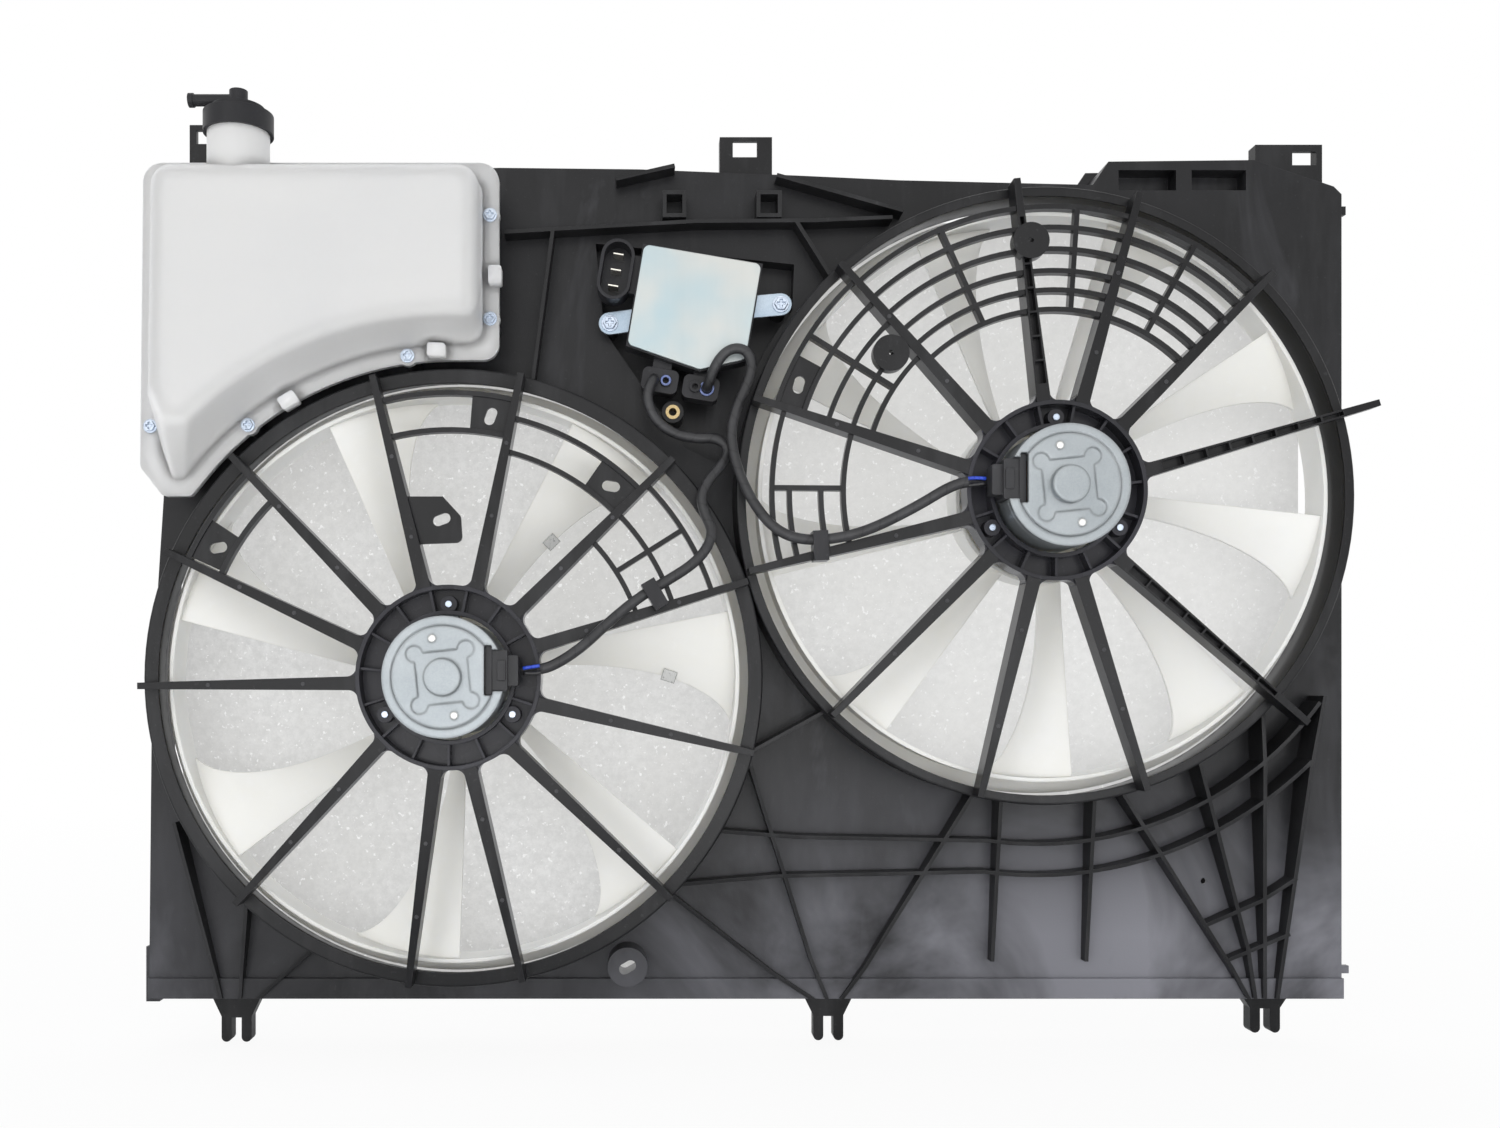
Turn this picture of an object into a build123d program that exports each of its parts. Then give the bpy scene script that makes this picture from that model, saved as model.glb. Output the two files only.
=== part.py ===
from build123d import *
import os
from math import atan2, cos, degrees, radians, sin, sqrt, tan

# Twin cooling fan assembly for a vehicle radiator, with its motors, controller and coolant reservoir.
# It is drawn lying on its radiator side: x runs across, y up the standing assembly, and z is the
# height above the radiator plane, towards the engine. Every node is stood up when it is written.

# Moulded shroud
WALL = 2.5
PANEL_HEIGHT = 38
SIDE_MARGIN = 8
BOTTOM_MARGIN = 13.5
TOP_MARGIN = 12.5
LIP_WIDTH = 6
CLEARANCE = 0.3

# Fan wheels, the same but for their blades
FAN_RING_RADIUS = 178
FAN_RING_LOW = 40
FAN_RING_HIGH = 64
FAN_RING_FLANGE = 8.5
TIP_CLEARANCE = 3
HUB_CUP_RADIUS = 54
HUB_CUP_LOW = 33
HUB_CUP_HIGH = 62
BLADE_WALL = 2
BLADE_EDGE_MARGIN = 2
FAN_RISE = 113

# Barrels round the fans
BARREL_HEIGHT = 32
BARREL_GAP = 0.3
LEFT_LIP_RADIUS = 183
RIGHT_LIP_RADIUS = 186

# Spokes and motor rings
LEFT_RING_RADIUS = 56
RIGHT_RING_RADIUS = 54.5
MOTOR_RING_LOW = 78
MOTOR_RING_HIGH = 94
SPOKE_DEPTH_AT_RIM = 14
SPOKE_HUB_WIDTH = 8.5
SPOKE_RIM_WIDTH = 4
SPOKE_END_MARGIN = 1
GUARD_DEPTH = 6
GUARD_WIDTH = 3

# Motors
MOTOR_RADIUS = 36
MOTOR_WALL = 2
MOTOR_RING_CLEARANCE = 2
CAN_LOW = 44
CAN_HIGH = 112
BELL_HIGH = 118
BOSS_RADIUS = 11
BOSS_HIGH = 122
SHAFT_RADIUS = 4
SHAFT_LOW = 24
RUNNING_FIT = 0.05
PRESS_FIT = 0.02
BUSH_RADIUS = 7
BUSH_LENGTH = 9
EAR_CIRCLE = 44.5
EAR_RADIUS = 5
EAR_THICKNESS = 2.5
EAR_ANGLES = (90, 210, 330)
MOTOR_SCREW_RADIUS = 2
SCREW_HEAD_RADIUS = 4.3
SCREW_HEAD_HEIGHT = 3
ARMATURE_RADIUS = 23.5
AIR_GAP = 0.8
COMMUTATOR_RADIUS = 9
CONNECTOR_REACH = 43.5
CONNECTOR_LENGTH = 19
CONNECTOR_WIDTH = 29
CONNECTOR_OFFSET = 4
CONNECTOR_LOW = 96
CONNECTOR_HIGH = 113
CONNECTOR_FLANGE = 4
CONNECTOR_BODY_END = 37.5
CONNECTOR_BODY_WIDTH = 24
CONNECTOR_NECK_WIDTH = 18

# Motor leads
LEAD_RADIUS = 3.2
LEAD_HEIGHT = 104

# Coolant reservoir
TANK_WALL = 2.5
TANK_FLANGE_HEIGHT = 70
TANK_BACK = 44
TANK_FRONT = 110
TANK_FLANGE_WALL = 2.5
NECK_X = -311
NECK_HEIGHT = 90
NECK_RADIUS = 18.5
NECK_TOP = 540
CAP_WALL = 2
CAP_SKIRT = 6
CAP_DEPTH = 8
SEAL_THICKNESS = 2
NIPPLE_RADIUS = 3.5
NIPPLE_BORE = 2
NIPPLE_LENGTH = 24.5
TUBE_RADIUS = 3
TUBE_BOTTOM = 384
TANK_SCREW_RADIUS = 2
TANK_EDGE = 5

# Controller
POCKET_DEPTH = 16
CONTROLLER_LOW = 50
CONTROLLER_HIGH = 64
CONTROLLER_WALL = 2
COVER_THICKNESS = 2
BRACKET_THICKNESS = 2
INSERT_RADIUS = 4.5
INSERT_HOLE = 2.5
INSERT_LENGTH = 10

# Sizes worked out from the ones above
BARREL_INSIDE = FAN_RING_RADIUS + FAN_RING_FLANGE + TIP_CLEARANCE
BARREL_RADIUS = BARREL_INSIDE + WALL
BARREL_TOP = PANEL_HEIGHT + BARREL_HEIGHT
FAN_X = sqrt((2 * BARREL_RADIUS + BARREL_GAP) ** 2 - FAN_RISE ** 2) / 2
LEFT_AXIS = (-FAN_X, BARREL_RADIUS + BOTTOM_MARGIN)
RIGHT_AXIS = (FAN_X, LEFT_AXIS[1] + FAN_RISE)
SIDE = FAN_X + BARREL_RADIUS + SIDE_MARGIN
TOP = RIGHT_AXIS[1] + BARREL_RADIUS + TOP_MARGIN
MOTOR_RING_BORE = MOTOR_RADIUS + MOTOR_RING_CLEARANCE
SHAFT_HIGH = BOSS_HIGH - 3


def polar(radius, angle, centre=(0, 0)):
    return (centre[0] + radius * cos(radians(angle)), centre[1] + radius * sin(radians(angle)))


def plate(outline, low, high):
    """A flat outline made solid between two heights."""
    return extrude(Pos(0, 0, low) * outline, high - low)


def disc(radius, low, high, centre=(0, 0)):
    return plate(Pos(*centre) * Circle(radius), low, high)


def ring(outside, inside, low, high, centre=(0, 0)):
    return plate(Pos(*centre) * (Circle(outside) - Circle(inside)), low, high)


def ring_sector(outside, inside, start, end, centre=(0, 0)):
    """A flat piece of a ring between two angles."""
    outer = CenterArc(centre, outside, start, end - start)
    inner = CenterArc(centre, inside, start, end - start)
    return make_face([outer, inner, Line(outer @ 0, inner @ 0), Line(outer @ 1, inner @ 1)])


def bar(start, end, width, overrun=0):
    """A flat strip between two points, longer by the overrun at each end."""
    run = Vector(*end) - Vector(*start)
    middle = (Vector(*start) + Vector(*end)) / 2
    return Pos(middle) * Rot(0, 0, degrees(atan2(run.Y, run.X))) * Rectangle(run.length + 2 * overrun, width)


def slot(centre, length, width, turn):
    return Pos(*centre) * Rot(0, 0, turn) * SlotOverall(length, width)


def polygon(points):
    return make_face(Polyline(*points, close=True))


def all_of(shapes):
    """Separate solids kept side by side in one node."""
    return Compound(children=[solid for shape in shapes for solid in shape.solids()])


def side_prism(profile, width):
    """A profile of (distance, height) points, made solid to both sides of its plane."""
    return extrude(Plane.XZ * polygon(profile), width / 2, both=True)


# Shroud

def panel_outline():
    """The moulding's edge: tapered above the left fan, with a raised box at the top right."""
    left_top = TOP + 4
    return polygon([
        (-SIDE, 0),
        (SIDE, 0),
        (SIDE, TOP - 6),
        (SIDE - 5, TOP - 1),
        (SIDE - 56, TOP + 16),
        (SIDE - 150, TOP + 15),
        (SIDE - 160, TOP),
        (FAN_X - 85, TOP + 3),
        (FAN_X - 150, TOP + 6),
        (-68, TOP + 10),
        (-158, TOP + 11),
        (-SIDE + 22, left_top),
        (-SIDE + 10, left_top - 12),
        (-SIDE + 10, LEFT_AXIS[1] + 125),
        (-SIDE + 2, LEFT_AXIS[1]),
    ])


def pocket_outline(inset=0):
    """The sunk area between the barrels that holds the controller."""
    pocket = polygon([
        (-99, 488),
        (34, 474),
        (32, 428),
        (10, 380),
        (-11, 338),
        (-40, 352),
        (-93, 428),
    ])
    if inset:
        pocket = offset(pocket, -inset, kind=Kind.INTERSECTION)
    for axis in (LEFT_AXIS, RIGHT_AXIS):
        pocket = pocket - Pos(*axis) * Circle(BARREL_RADIUS + WALL + inset)
    return pocket


def recess_outline():
    """Two deep boxes side by side at the top right corner."""
    middle = TOP + 3
    left = Pos(SIDE - 125, middle) * Rectangle(42, 18)
    right = Pos(SIDE - 79, middle) * Rectangle(40, 18)
    return left + right


def open_box(outline, inner, depth):
    """A sunk box with a floor and walls, open to the engine side."""
    bottom = PANEL_HEIGHT - depth
    return plate(outline, bottom, PANEL_HEIGHT) - plate(inner, bottom + WALL, PANEL_HEIGHT)


def tank_screw_places():
    """Three screws follow the barrel, two stand down the reservoir's right edge and one at the left."""
    near = BARREL_RADIUS + 9
    return [
        (-160.5, 491.5),
        (-160.5, 427.5),
        polar(near, 98, LEFT_AXIS),
        polar(near, 129, LEFT_AXIS),
        (-370.5, 361),
    ]


def shroud_panel():
    sheet = plate(panel_outline(), PANEL_HEIGHT - WALL, PANEL_HEIGHT)
    for axis in (LEFT_AXIS, RIGHT_AXIS):
        sheet -= disc(BARREL_INSIDE, 0, PANEL_HEIGHT + 1, axis)
    sheet -= plate(pocket_outline(), 0, PANEL_HEIGHT + 1)
    sheet -= plate(recess_outline(), 0, PANEL_HEIGHT + 1)
    sheet += open_box(pocket_outline(), pocket_outline(WALL), POCKET_DEPTH)
    sheet += open_box(recess_outline(), offset(recess_outline(), -WALL, kind=Kind.INTERSECTION), POCKET_DEPTH)
    boss_top = TANK_FLANGE_HEIGHT - TANK_FLANGE_WALL
    for place in tank_screw_places():
        sheet += disc(TANK_SCREW_RADIUS + 2, PANEL_HEIGHT - WALL, boss_top, place)
        sheet -= disc(TANK_SCREW_RADIUS + RUNNING_FIT, PANEL_HEIGHT, boss_top + 1, place)
    floor = PANEL_HEIGHT - POCKET_DEPTH
    for place in bracket_ear_places():
        sheet += disc(TANK_SCREW_RADIUS + 3, floor, CONTROLLER_LOW - BRACKET_THICKNESS, place)
        sheet -= disc(TANK_SCREW_RADIUS + RUNNING_FIT, floor + WALL, CONTROLLER_LOW + 1, place)
    sheet += disc(INSERT_RADIUS + WALL, floor, CONTROLLER_LOW, INSERT_PLACE)
    sheet -= disc(INSERT_RADIUS + PRESS_FIT, CONTROLLER_LOW - INSERT_LENGTH, CONTROLLER_LOW + 1, INSERT_PLACE)
    sheet += plate(bottom_rail(), PANEL_HEIGHT - WALL, PANEL_HEIGHT + RAIL_RISE)
    sheet += disc(SLOT_BOSS_RADIUS, PANEL_HEIGHT - WALL, SLOT_BOSS_TOP, SLOT_BOSS_PLACE)
    sheet -= plate(slot(SLOT_BOSS_PLACE, 11.3, 6.9, 30), 0, SLOT_BOSS_TOP + 1)
    sheet -= disc(DRAIN_RADIUS, 0, PANEL_HEIGHT + 1, DRAIN_PLACE)
    return sheet


RAIL_RISE = 3
DRAIN_PLACE = (295, 75)
DRAIN_RADIUS = 2


def bottom_rail():
    """The thicker strip along the panel's lower edge, just clear of the barrel above it."""
    width = BOTTOM_MARGIN - 0.5
    return Pos(0, width / 2) * Rectangle(2 * SIDE - 0.1, width) & panel_outline()


SLOT_BOSS_PLACE = (LEFT_AXIS[0] + 108, LEFT_AXIS[1] - 182)
SLOT_BOSS_RADIUS = 12.6
SLOT_BOSS_TOP = 58


def shroud_skirt():
    outline = panel_outline()
    inside = offset(outline, -WALL, kind=Kind.INTERSECTION)
    walls = plate(outline - inside, 0, PANEL_HEIGHT - WALL)
    lip = plate(offset(outline, LIP_WIDTH, kind=Kind.INTERSECTION) - inside, 0, WALL)
    skirt = walls + lip
    root = WALL / 2
    corner = Pos((root - CORNER_BLOCK) / 2 - SIDE, 12) * Rectangle(CORNER_BLOCK + root, 36)
    skirt += plate(corner, 0, 22)
    for reach, low, high in SIDE_HOOKS:
        hook = Pos(SIDE + (reach - root) / 2, (low + high) / 2) * Rectangle(reach + root, high - low)
        skirt += plate(hook, 16, 20)
    return skirt


# The block at the lower left corner and the stubs at the right side, as reach, low and high edge
CORNER_BLOCK = 7.5
SIDE_HOOKS = [(12, 510, 515.5), (14, 12, 17)]


def fan_barrel(axis, lip_radius):
    """A round wall standing on the panel, turned inwards at its top."""
    wall = ring(BARREL_RADIUS, BARREL_INSIDE, PANEL_HEIGHT, BARREL_TOP, axis)
    lip = ring(BARREL_RADIUS, lip_radius, BARREL_TOP - WALL, BARREL_TOP, axis)
    barrel = wall + lip
    rim = barrel.edges().filter_by(GeomType.CIRCLE).filter_by(
        lambda edge: abs(edge.radius - BARREL_RADIUS) < 0.01 and edge.center().Z > BARREL_TOP - 0.01
    )
    return fillet(rim, WALL * 0.6)


def spoke_top(radius, ring_radius):
    """Height of a spoke's engine side, which falls from the motor ring to the rim."""
    fall = MOTOR_RING_HIGH - BARREL_TOP - SPOKE_DEPTH_AT_RIM
    return MOTOR_RING_HIGH - fall * (radius - ring_radius) / (BARREL_RADIUS - ring_radius)


def spoke(axis, ring_radius, lip_radius, rim_angle, hub_angle, reach=0, channel=False):
    """A tapered strut from the motor ring to its seat on the barrel's lip."""
    root = Vector(*polar(ring_radius - 2, hub_angle))
    tip = Vector(*polar(BARREL_RADIUS - SPOKE_END_MARGIN + reach, rim_angle))
    run = tip - root
    seat = run.length - (tip.length - lip_radius)
    low = MOTOR_RING_LOW + 1
    plan = polygon([
        (0, -SPOKE_HUB_WIDTH / 2),
        (run.length, -SPOKE_RIM_WIDTH / 2),
        (run.length, SPOKE_RIM_WIDTH / 2),
        (0, SPOKE_HUB_WIDTH / 2),
    ])
    end_top = spoke_top(tip.length, ring_radius)
    profile = [
        (0, low),
        (seat, BARREL_TOP),
        (run.length, BARREL_TOP),
        (run.length, end_top),
        (0, spoke_top(ring_radius - 2, ring_radius)),
    ]
    strut = plate(plan, BARREL_TOP, MOTOR_RING_HIGH + 1) & side_prism(profile, 2 * SPOKE_HUB_WIDTH)
    if channel:
        strut = strut - channel_pockets(run.length, ring_radius)
    turn = degrees(atan2(run.Y, run.X))
    strut = Pos(*axis) * Pos(root) * Rot(0, 0, turn) * strut
    return strut - disc(ring_radius, BARREL_TOP, MOTOR_RING_HIGH + 1, axis)


def channel_pockets(length, ring_radius):
    """Pockets sunk in a channel spoke, parted by thin cross ribs."""
    pockets = []
    step = 15
    start = 12
    count = int((length - start - 12) / step)
    for number in range(count):
        near = start + number * step
        share = (near + step / 2) / length
        width = SPOKE_HUB_WIDTH + (SPOKE_RIM_WIDTH - SPOKE_HUB_WIDTH) * share - 2.4
        pocket = plate(Pos(near + step / 2, 0) * Rectangle(step - 1.2, width), 0, 2 * SPOKE_DEPTH_AT_RIM)
        top = spoke_top(ring_radius + near, ring_radius)
        pockets.append(Pos(0, 0, top - 6) * pocket)
    return Compound(children=pockets)


LEFT_SPOKES = [
    (104.5, 105.2), (134.7, 136.3), (156.1, 159.4), (181.5, 183.6), (226.4, 224.2), (262.2, 262.0),
    (283.3, 283.6), (314.9, 311.6), (346.0, 343.6), (18.0, 19.6), (44.6, 43.7), (77.0, 71.9),
]
RIGHT_SPOKES = [
    (73.7, 74.0), (44.8, 44.6), (-72.2, -74.9), (256.8, 255.2), (225.5, 225.0), (194.5, 197.6),
    (162.3, 165.7), (132.6, 138.1),
]
RIGHT_CHANNELS = [(96.4, 98.7, 2), (15.4, 12.3, 17), (-41.8, -48.0, 20)]


def left_spokes():
    return [spoke(LEFT_AXIS, LEFT_RING_RADIUS, LEFT_LIP_RADIUS, rim, hub) for rim, hub in LEFT_SPOKES]


def right_spokes():
    plain = [spoke(RIGHT_AXIS, RIGHT_RING_RADIUS, RIGHT_LIP_RADIUS, rim, hub) for rim, hub in RIGHT_SPOKES]
    channels = [
        spoke(RIGHT_AXIS, RIGHT_RING_RADIUS, RIGHT_LIP_RADIUS, rim, hub, reach, True)
        for rim, hub, reach in RIGHT_CHANNELS
    ]
    return plain + channels


WEB_RADIUS = 6
WEB_REACH = 34


def root_webs(ring_radius, spoke_angles):
    """The rounded corners between the ring and its spokes, as a flat outline."""
    flat = Circle(ring_radius)
    for row in spoke_angles:
        root = Vector(*polar(ring_radius - 2, row[1]))
        run = Vector(*polar(BARREL_RADIUS - SPOKE_END_MARGIN, row[0])) - root
        share = WEB_REACH / run.length
        end_width = SPOKE_HUB_WIDTH + (SPOKE_RIM_WIDTH - SPOKE_HUB_WIDTH) * share
        strut = polygon([
            (0, -SPOKE_HUB_WIDTH / 2),
            (WEB_REACH, -end_width / 2),
            (WEB_REACH, end_width / 2),
            (0, SPOKE_HUB_WIDTH / 2),
        ])
        flat += Pos(root) * Rot(0, 0, degrees(atan2(run.Y, run.X))) * strut
    closed = offset(offset(flat, WEB_RADIUS, kind=Kind.ARC), -WEB_RADIUS, kind=Kind.ARC)
    return closed - flat


def motor_ring(axis, ring_radius, spoke_angles, spokes):
    """The ring at the spokes' middle: two walls, a floor, radial ribs, three screw bosses and the webs."""
    floor_top = MOTOR_RING_LOW + 2 + WALL
    body = ring(ring_radius, ring_radius - WALL, MOTOR_RING_LOW, MOTOR_RING_HIGH)
    body += ring(ring_radius, MOTOR_RING_BORE, MOTOR_RING_LOW + 2, floor_top)
    body += ring(MOTOR_RING_BORE + WALL, MOTOR_RING_BORE, MOTOR_RING_LOW + 2, MOTOR_RING_HIGH)
    rib_width = 1.6
    rib_count = 15
    for number in range(rib_count):
        angle = EAR_ANGLES[0] + (number + 0.5) * 360 / rib_count
        inner = polar(MOTOR_RING_BORE + 1, angle)
        outer = polar(ring_radius - 1, angle)
        body += plate(bar(inner, outer, rib_width), MOTOR_RING_LOW + 2, MOTOR_RING_HIGH - 2)
    for angle in EAR_ANGLES:
        place = polar(EAR_CIRCLE, angle)
        body += disc(EAR_RADIUS, MOTOR_RING_LOW, MOTOR_RING_HIGH - 3, place)
    for angle in EAR_ANGLES:
        place = polar(EAR_CIRCLE, angle)
        body -= disc(MOTOR_SCREW_RADIUS + RUNNING_FIT, 0, MOTOR_RING_HIGH + 1, place)
    body -= disc(MOTOR_RING_BORE, 0, MOTOR_RING_HIGH + 1)
    webs = plate(root_webs(ring_radius, spoke_angles), MOTOR_RING_LOW + 2, MOTOR_RING_HIGH - 1.5)
    webs = cut_by(Pos(*axis) * webs, spokes)
    corners = [piece for piece in webs.solids() if piece.volume > 1]
    return (Pos(*axis) * body).fuse(*corners)


LEFT_GUARD_ARCS = [
    (174, 77, 104.5), (151, 77, 104.5), (163, 44.6, 77), (142, 44.6, 77), (168, 18, 44.6),
    (143, 18, 44.6), (120, 18, 44.6), (175.5, 134.7, 156), (153, 134.7, 156),
]
LEFT_GUARD_BARS = [(32.5, 120, 168)]
RIGHT_GUARD_ARCS = (
    [(radius, 44.8, 132.6) for radius in (174.5, 161.5, 148, 134.5, 122.5, 110.5)]
    + [(radius, 132.6, 162.3) for radius in (176.7, 159.3, 143.8, 128.3, 116)]
    + [(radius, 162.3, 194.5) for radius in (171, 128)]
    + [(radius, 179, 194.5) for radius in (160.5, 141.5)]
)
RIGHT_GUARD_BARS = [(113, 110.5, 174.5), (85, 110.5, 174.5), (60, 110.5, 174.5), (147, 116, 176.7), (179, 128, 171)]


# The guard's bits inside a channel spoke's pockets are smaller than this and are left out
GUARD_SCRAP = 100


def guard_bars(axis, ring_radius, arcs, radials, spokes):
    """Finger guard: arcs and short radial bars between the spokes, cut where the spokes pass."""
    lattice = []
    for radius, start, end in arcs:
        top = spoke_top(radius, ring_radius) - 1
        flat = ring_sector(radius + GUARD_WIDTH / 2, radius - GUARD_WIDTH / 2, start, end)
        lattice.append(plate(flat, top - GUARD_DEPTH, top))
    for angle, inner, outer in radials:
        inner_top = spoke_top(inner, ring_radius) - 1
        outer_top = spoke_top(outer, ring_radius) - 1
        profile = [
            (inner, inner_top - GUARD_DEPTH),
            (outer, outer_top - GUARD_DEPTH),
            (outer, outer_top),
            (inner, inner_top),
        ]
        lattice.append(Rot(0, 0, angle) * side_prism(profile, GUARD_WIDTH))
    whole = lattice[0].fuse(*lattice[1:])
    bars = cut_by(Pos(*axis) * whole, spokes).solids()
    return all_of([bars.filter_by(lambda piece: piece.volume > GUARD_SCRAP)])


def cut_by(shape, tools):
    """What is left of a shape outside the tools, as one node."""
    left = shape.cut(*tools) if hasattr(shape, "cut") else shape
    return all_of(left if isinstance(left, (list, ShapeList)) else [left])


# Harness tabs as outer and inner radius, start and end angle, and the slot's turn
LEFT_TABS = [(176, 149, 146.5, 155, 10), (174, 149, 77, 85.5, 70), (163, 142, 45, 55, -10)]
RIGHT_TABS = [(177, 159, 151.5, 162.3, 75)]
# Round pads on the right guard as radius and angle
RIGHT_PADS = [(152.8, 95.4), (130, 140)]
PAD_RADIUS = 11
PAD_HOLE = 1.5
PAD_RISE = 2


def harness_tabs(left_struts, right_struts, left_guard, right_guard):
    """Slotted plates beside the spokes, for clips of the vehicle's harness."""
    tabs = []
    for outside, inside, start, end, turn in LEFT_TABS:
        flat = tab_outline(outside, inside, start, end, turn)
        tabs.append(tab_plate(flat, LEFT_AXIS, outside, LEFT_RING_RADIUS, left_struts + [left_guard]))
    for outside, inside, start, end, turn in RIGHT_TABS:
        flat = tab_outline(outside, inside, start, end, turn)
        tabs.append(tab_plate(flat, RIGHT_AXIS, outside, RIGHT_RING_RADIUS, right_struts + [right_guard]))
    for radius, angle in RIGHT_PADS:
        top = spoke_top(radius - PAD_RADIUS, RIGHT_RING_RADIUS) + PAD_RISE
        pad = Pos(*polar(radius, angle)) * (Circle(PAD_RADIUS) - Circle(PAD_HOLE))
        pad = Pos(*RIGHT_AXIS) * plate(pad, top - PAD_RISE - GUARD_DEPTH, top)
        pieces = cut_by(pad, right_struts + [right_guard]).solids()
        tabs.append(pieces.sort_by(lambda piece: piece.volume)[-1])
    ear = polygon([(-26, 110), (-4, 110), (7, 98), (8, 82), (-19, 81)])
    ear = fillet(ear.vertices().sort_by(Axis.X)[-2:], 4) - slot((-4.7, 96), TAB_SLOT, TAB_SLOT_WIDTH, 20)
    tabs.append(tab_plate(ear, LEFT_AXIS, 110, LEFT_RING_RADIUS, left_struts + [left_guard]))
    return all_of(tabs)


TAB_SLOT = 11
TAB_SLOT_WIDTH = 6.5


def tab_outline(outside, inside, start, end, turn):
    place = polar((outside + inside) / 2, (start + end) / 2)
    return ring_sector(outside, inside, start, end) - slot(place, TAB_SLOT, TAB_SLOT_WIDTH, turn)


def tab_plate(flat, axis, outside, ring_radius, neighbours):
    """A tab's plate just under its spoke's engine side, the largest piece left between its neighbours."""
    top = spoke_top(outside, ring_radius) - 2
    pieces = cut_by(Pos(*axis) * plate(flat, top - WALL, top), neighbours).solids()
    return pieces.sort_by(lambda piece: piece.volume)[-1]


def ribs_between(points, width):
    """A run of strips through the points, as one flat outline."""
    strips = [bar(start, end, width, width / 2) for start, end in zip(points, points[1:])]
    return sum_of(strips)


def sum_of(shapes):
    whole = shapes[0]
    for shape in shapes[1:]:
        whole = whole + shape
    return whole


RIB_WIDTH = 2.4
RIB_RISE = 20
INNER_ROW_RADIUS = BARREL_RADIUS + 26
OUTER_ROW_RADIUS = BARREL_RADIUS + 46


def lower_ribs():
    """The lattice below the fans: two rows round the right fan, uprights, and struts to the feet."""
    rx, ry = RIGHT_AXIS
    inner_start = polar(INNER_ROW_RADIUS, 262, RIGHT_AXIS)
    outer_start = polar(OUTER_ROW_RADIUS, 262, RIGHT_AXIS)
    half = RIB_WIDTH / 2
    flats = [
        ring_sector(INNER_ROW_RADIUS + half, INNER_ROW_RADIUS - half, 262, 324, RIGHT_AXIS),
        ring_sector(OUTER_ROW_RADIUS + half, OUTER_ROW_RADIUS - half, 262, 316, RIGHT_AXIS),
        ribs_between([(-34, 110), (32, 105), inner_start], RIB_WIDTH),
        ribs_between([(-50, 74), (20, 80), outer_start], RIB_WIDTH),
        ribs_between([(160, 130), (157, 26)], RIB_WIDTH),
        ribs_between([(219, 130), (217, 26)], RIB_WIDTH),
        ribs_between([(-1.4, 160), (41, 27), (52, 0)], RIB_WIDTH),
        ribs_between([(-52, 71), (17, 17), (43, 0)], RIB_WIDTH),
        ribs_between([(142, 132), (76, 21), (61, 0)], RIB_WIDTH),
        ribs_between([(236, 134), (310, 20.6), (322, 0)], RIB_WIDTH),
        ribs_between([(284, 154), (320, 32), (326, 0)], RIB_WIDTH),
        ribs_between([(324, 186), (329, 66), (332, 0)], RIB_WIDTH),
        ribs_between([(363, 193), (355, 150), (340, 0)], RIB_WIDTH),
        ribs_between([(294, 49), (327, 64), (348, 78)], RIB_WIDTH),
        ribs_between([(308, 26), (345, 42)], RIB_WIDTH),
        ribs_between([(-362, 113), (-338, 10), (-336, 0)], RIB_WIDTH),
        ribs_between([(-317, 72), (-324, 0)], RIB_WIDTH),
        ribs_between([(-272, 37), (-313, 0)], RIB_WIDTH),
        ribs_between([(0, 158), (53, 187)], RIB_WIDTH),
    ]
    inside = offset(panel_outline(), -0.5, kind=Kind.INTERSECTION)
    for axis in (LEFT_AXIS, RIGHT_AXIS):
        inside -= Pos(*axis) * Circle(BARREL_RADIUS)
    inside -= Pos(*SLOT_BOSS_PLACE) * Circle(SLOT_BOSS_RADIUS)
    flat = sum_of(flats) & inside
    lattice = plate(flat, PANEL_HEIGHT, PANEL_HEIGHT + RIB_RISE)
    fade_height = 150
    low_edge = 5
    slope = [
        (-5, PANEL_HEIGHT + low_edge),
        (fade_height, PANEL_HEIGHT + RIB_RISE),
        (fade_height, PANEL_HEIGHT + RIB_RISE + 5),
        (-5, PANEL_HEIGHT + RIB_RISE + 5),
    ]
    above = extrude(Plane.YZ * polygon(slope), SIDE, both=True)
    rail = plate(bottom_rail(), PANEL_HEIGHT - WALL, PANEL_HEIGHT + RAIL_RISE)
    return all_of([lattice - above - rail])


def upper_ribs():
    """Ribs above the fans and two small clip pockets on them."""
    flats = [
        ribs_between([(-156, 488), (-122, 490), (-32, 495), (44, 495.5), (91, 497.5)], RIB_WIDTH),
        ribs_between([(-82, 522), (-47, 530)], RIB_WIDTH),
        ribs_between([(20, 524), (98, 502)], RIB_WIDTH),
        ribs_between([(-123, 490), (-137, 385)], RIB_WIDTH),
        ribs_between([(32, 494), (52, 462)], RIB_WIDTH),
        Pos(-46, 506) * (Rectangle(15, 17) - Rectangle(10, 12)),
        Pos(14, 506) * (Rectangle(16, 17) - Rectangle(11, 12)),
    ]
    inside = offset(panel_outline(), -0.5, kind=Kind.INTERSECTION)
    for axis in (LEFT_AXIS, RIGHT_AXIS):
        inside -= Pos(*axis) * Circle(BARREL_RADIUS)
    inside -= pocket_outline()
    inside -= offset(tank_outline("flange"), 1)
    flat = sum_of(flats) & inside
    return all_of([plate(flat, PANEL_HEIGHT, PANEL_HEIGHT + RIB_RISE * 0.7)])


TAB_LOW = 12
TAB_THICKNESS = 3


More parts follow.
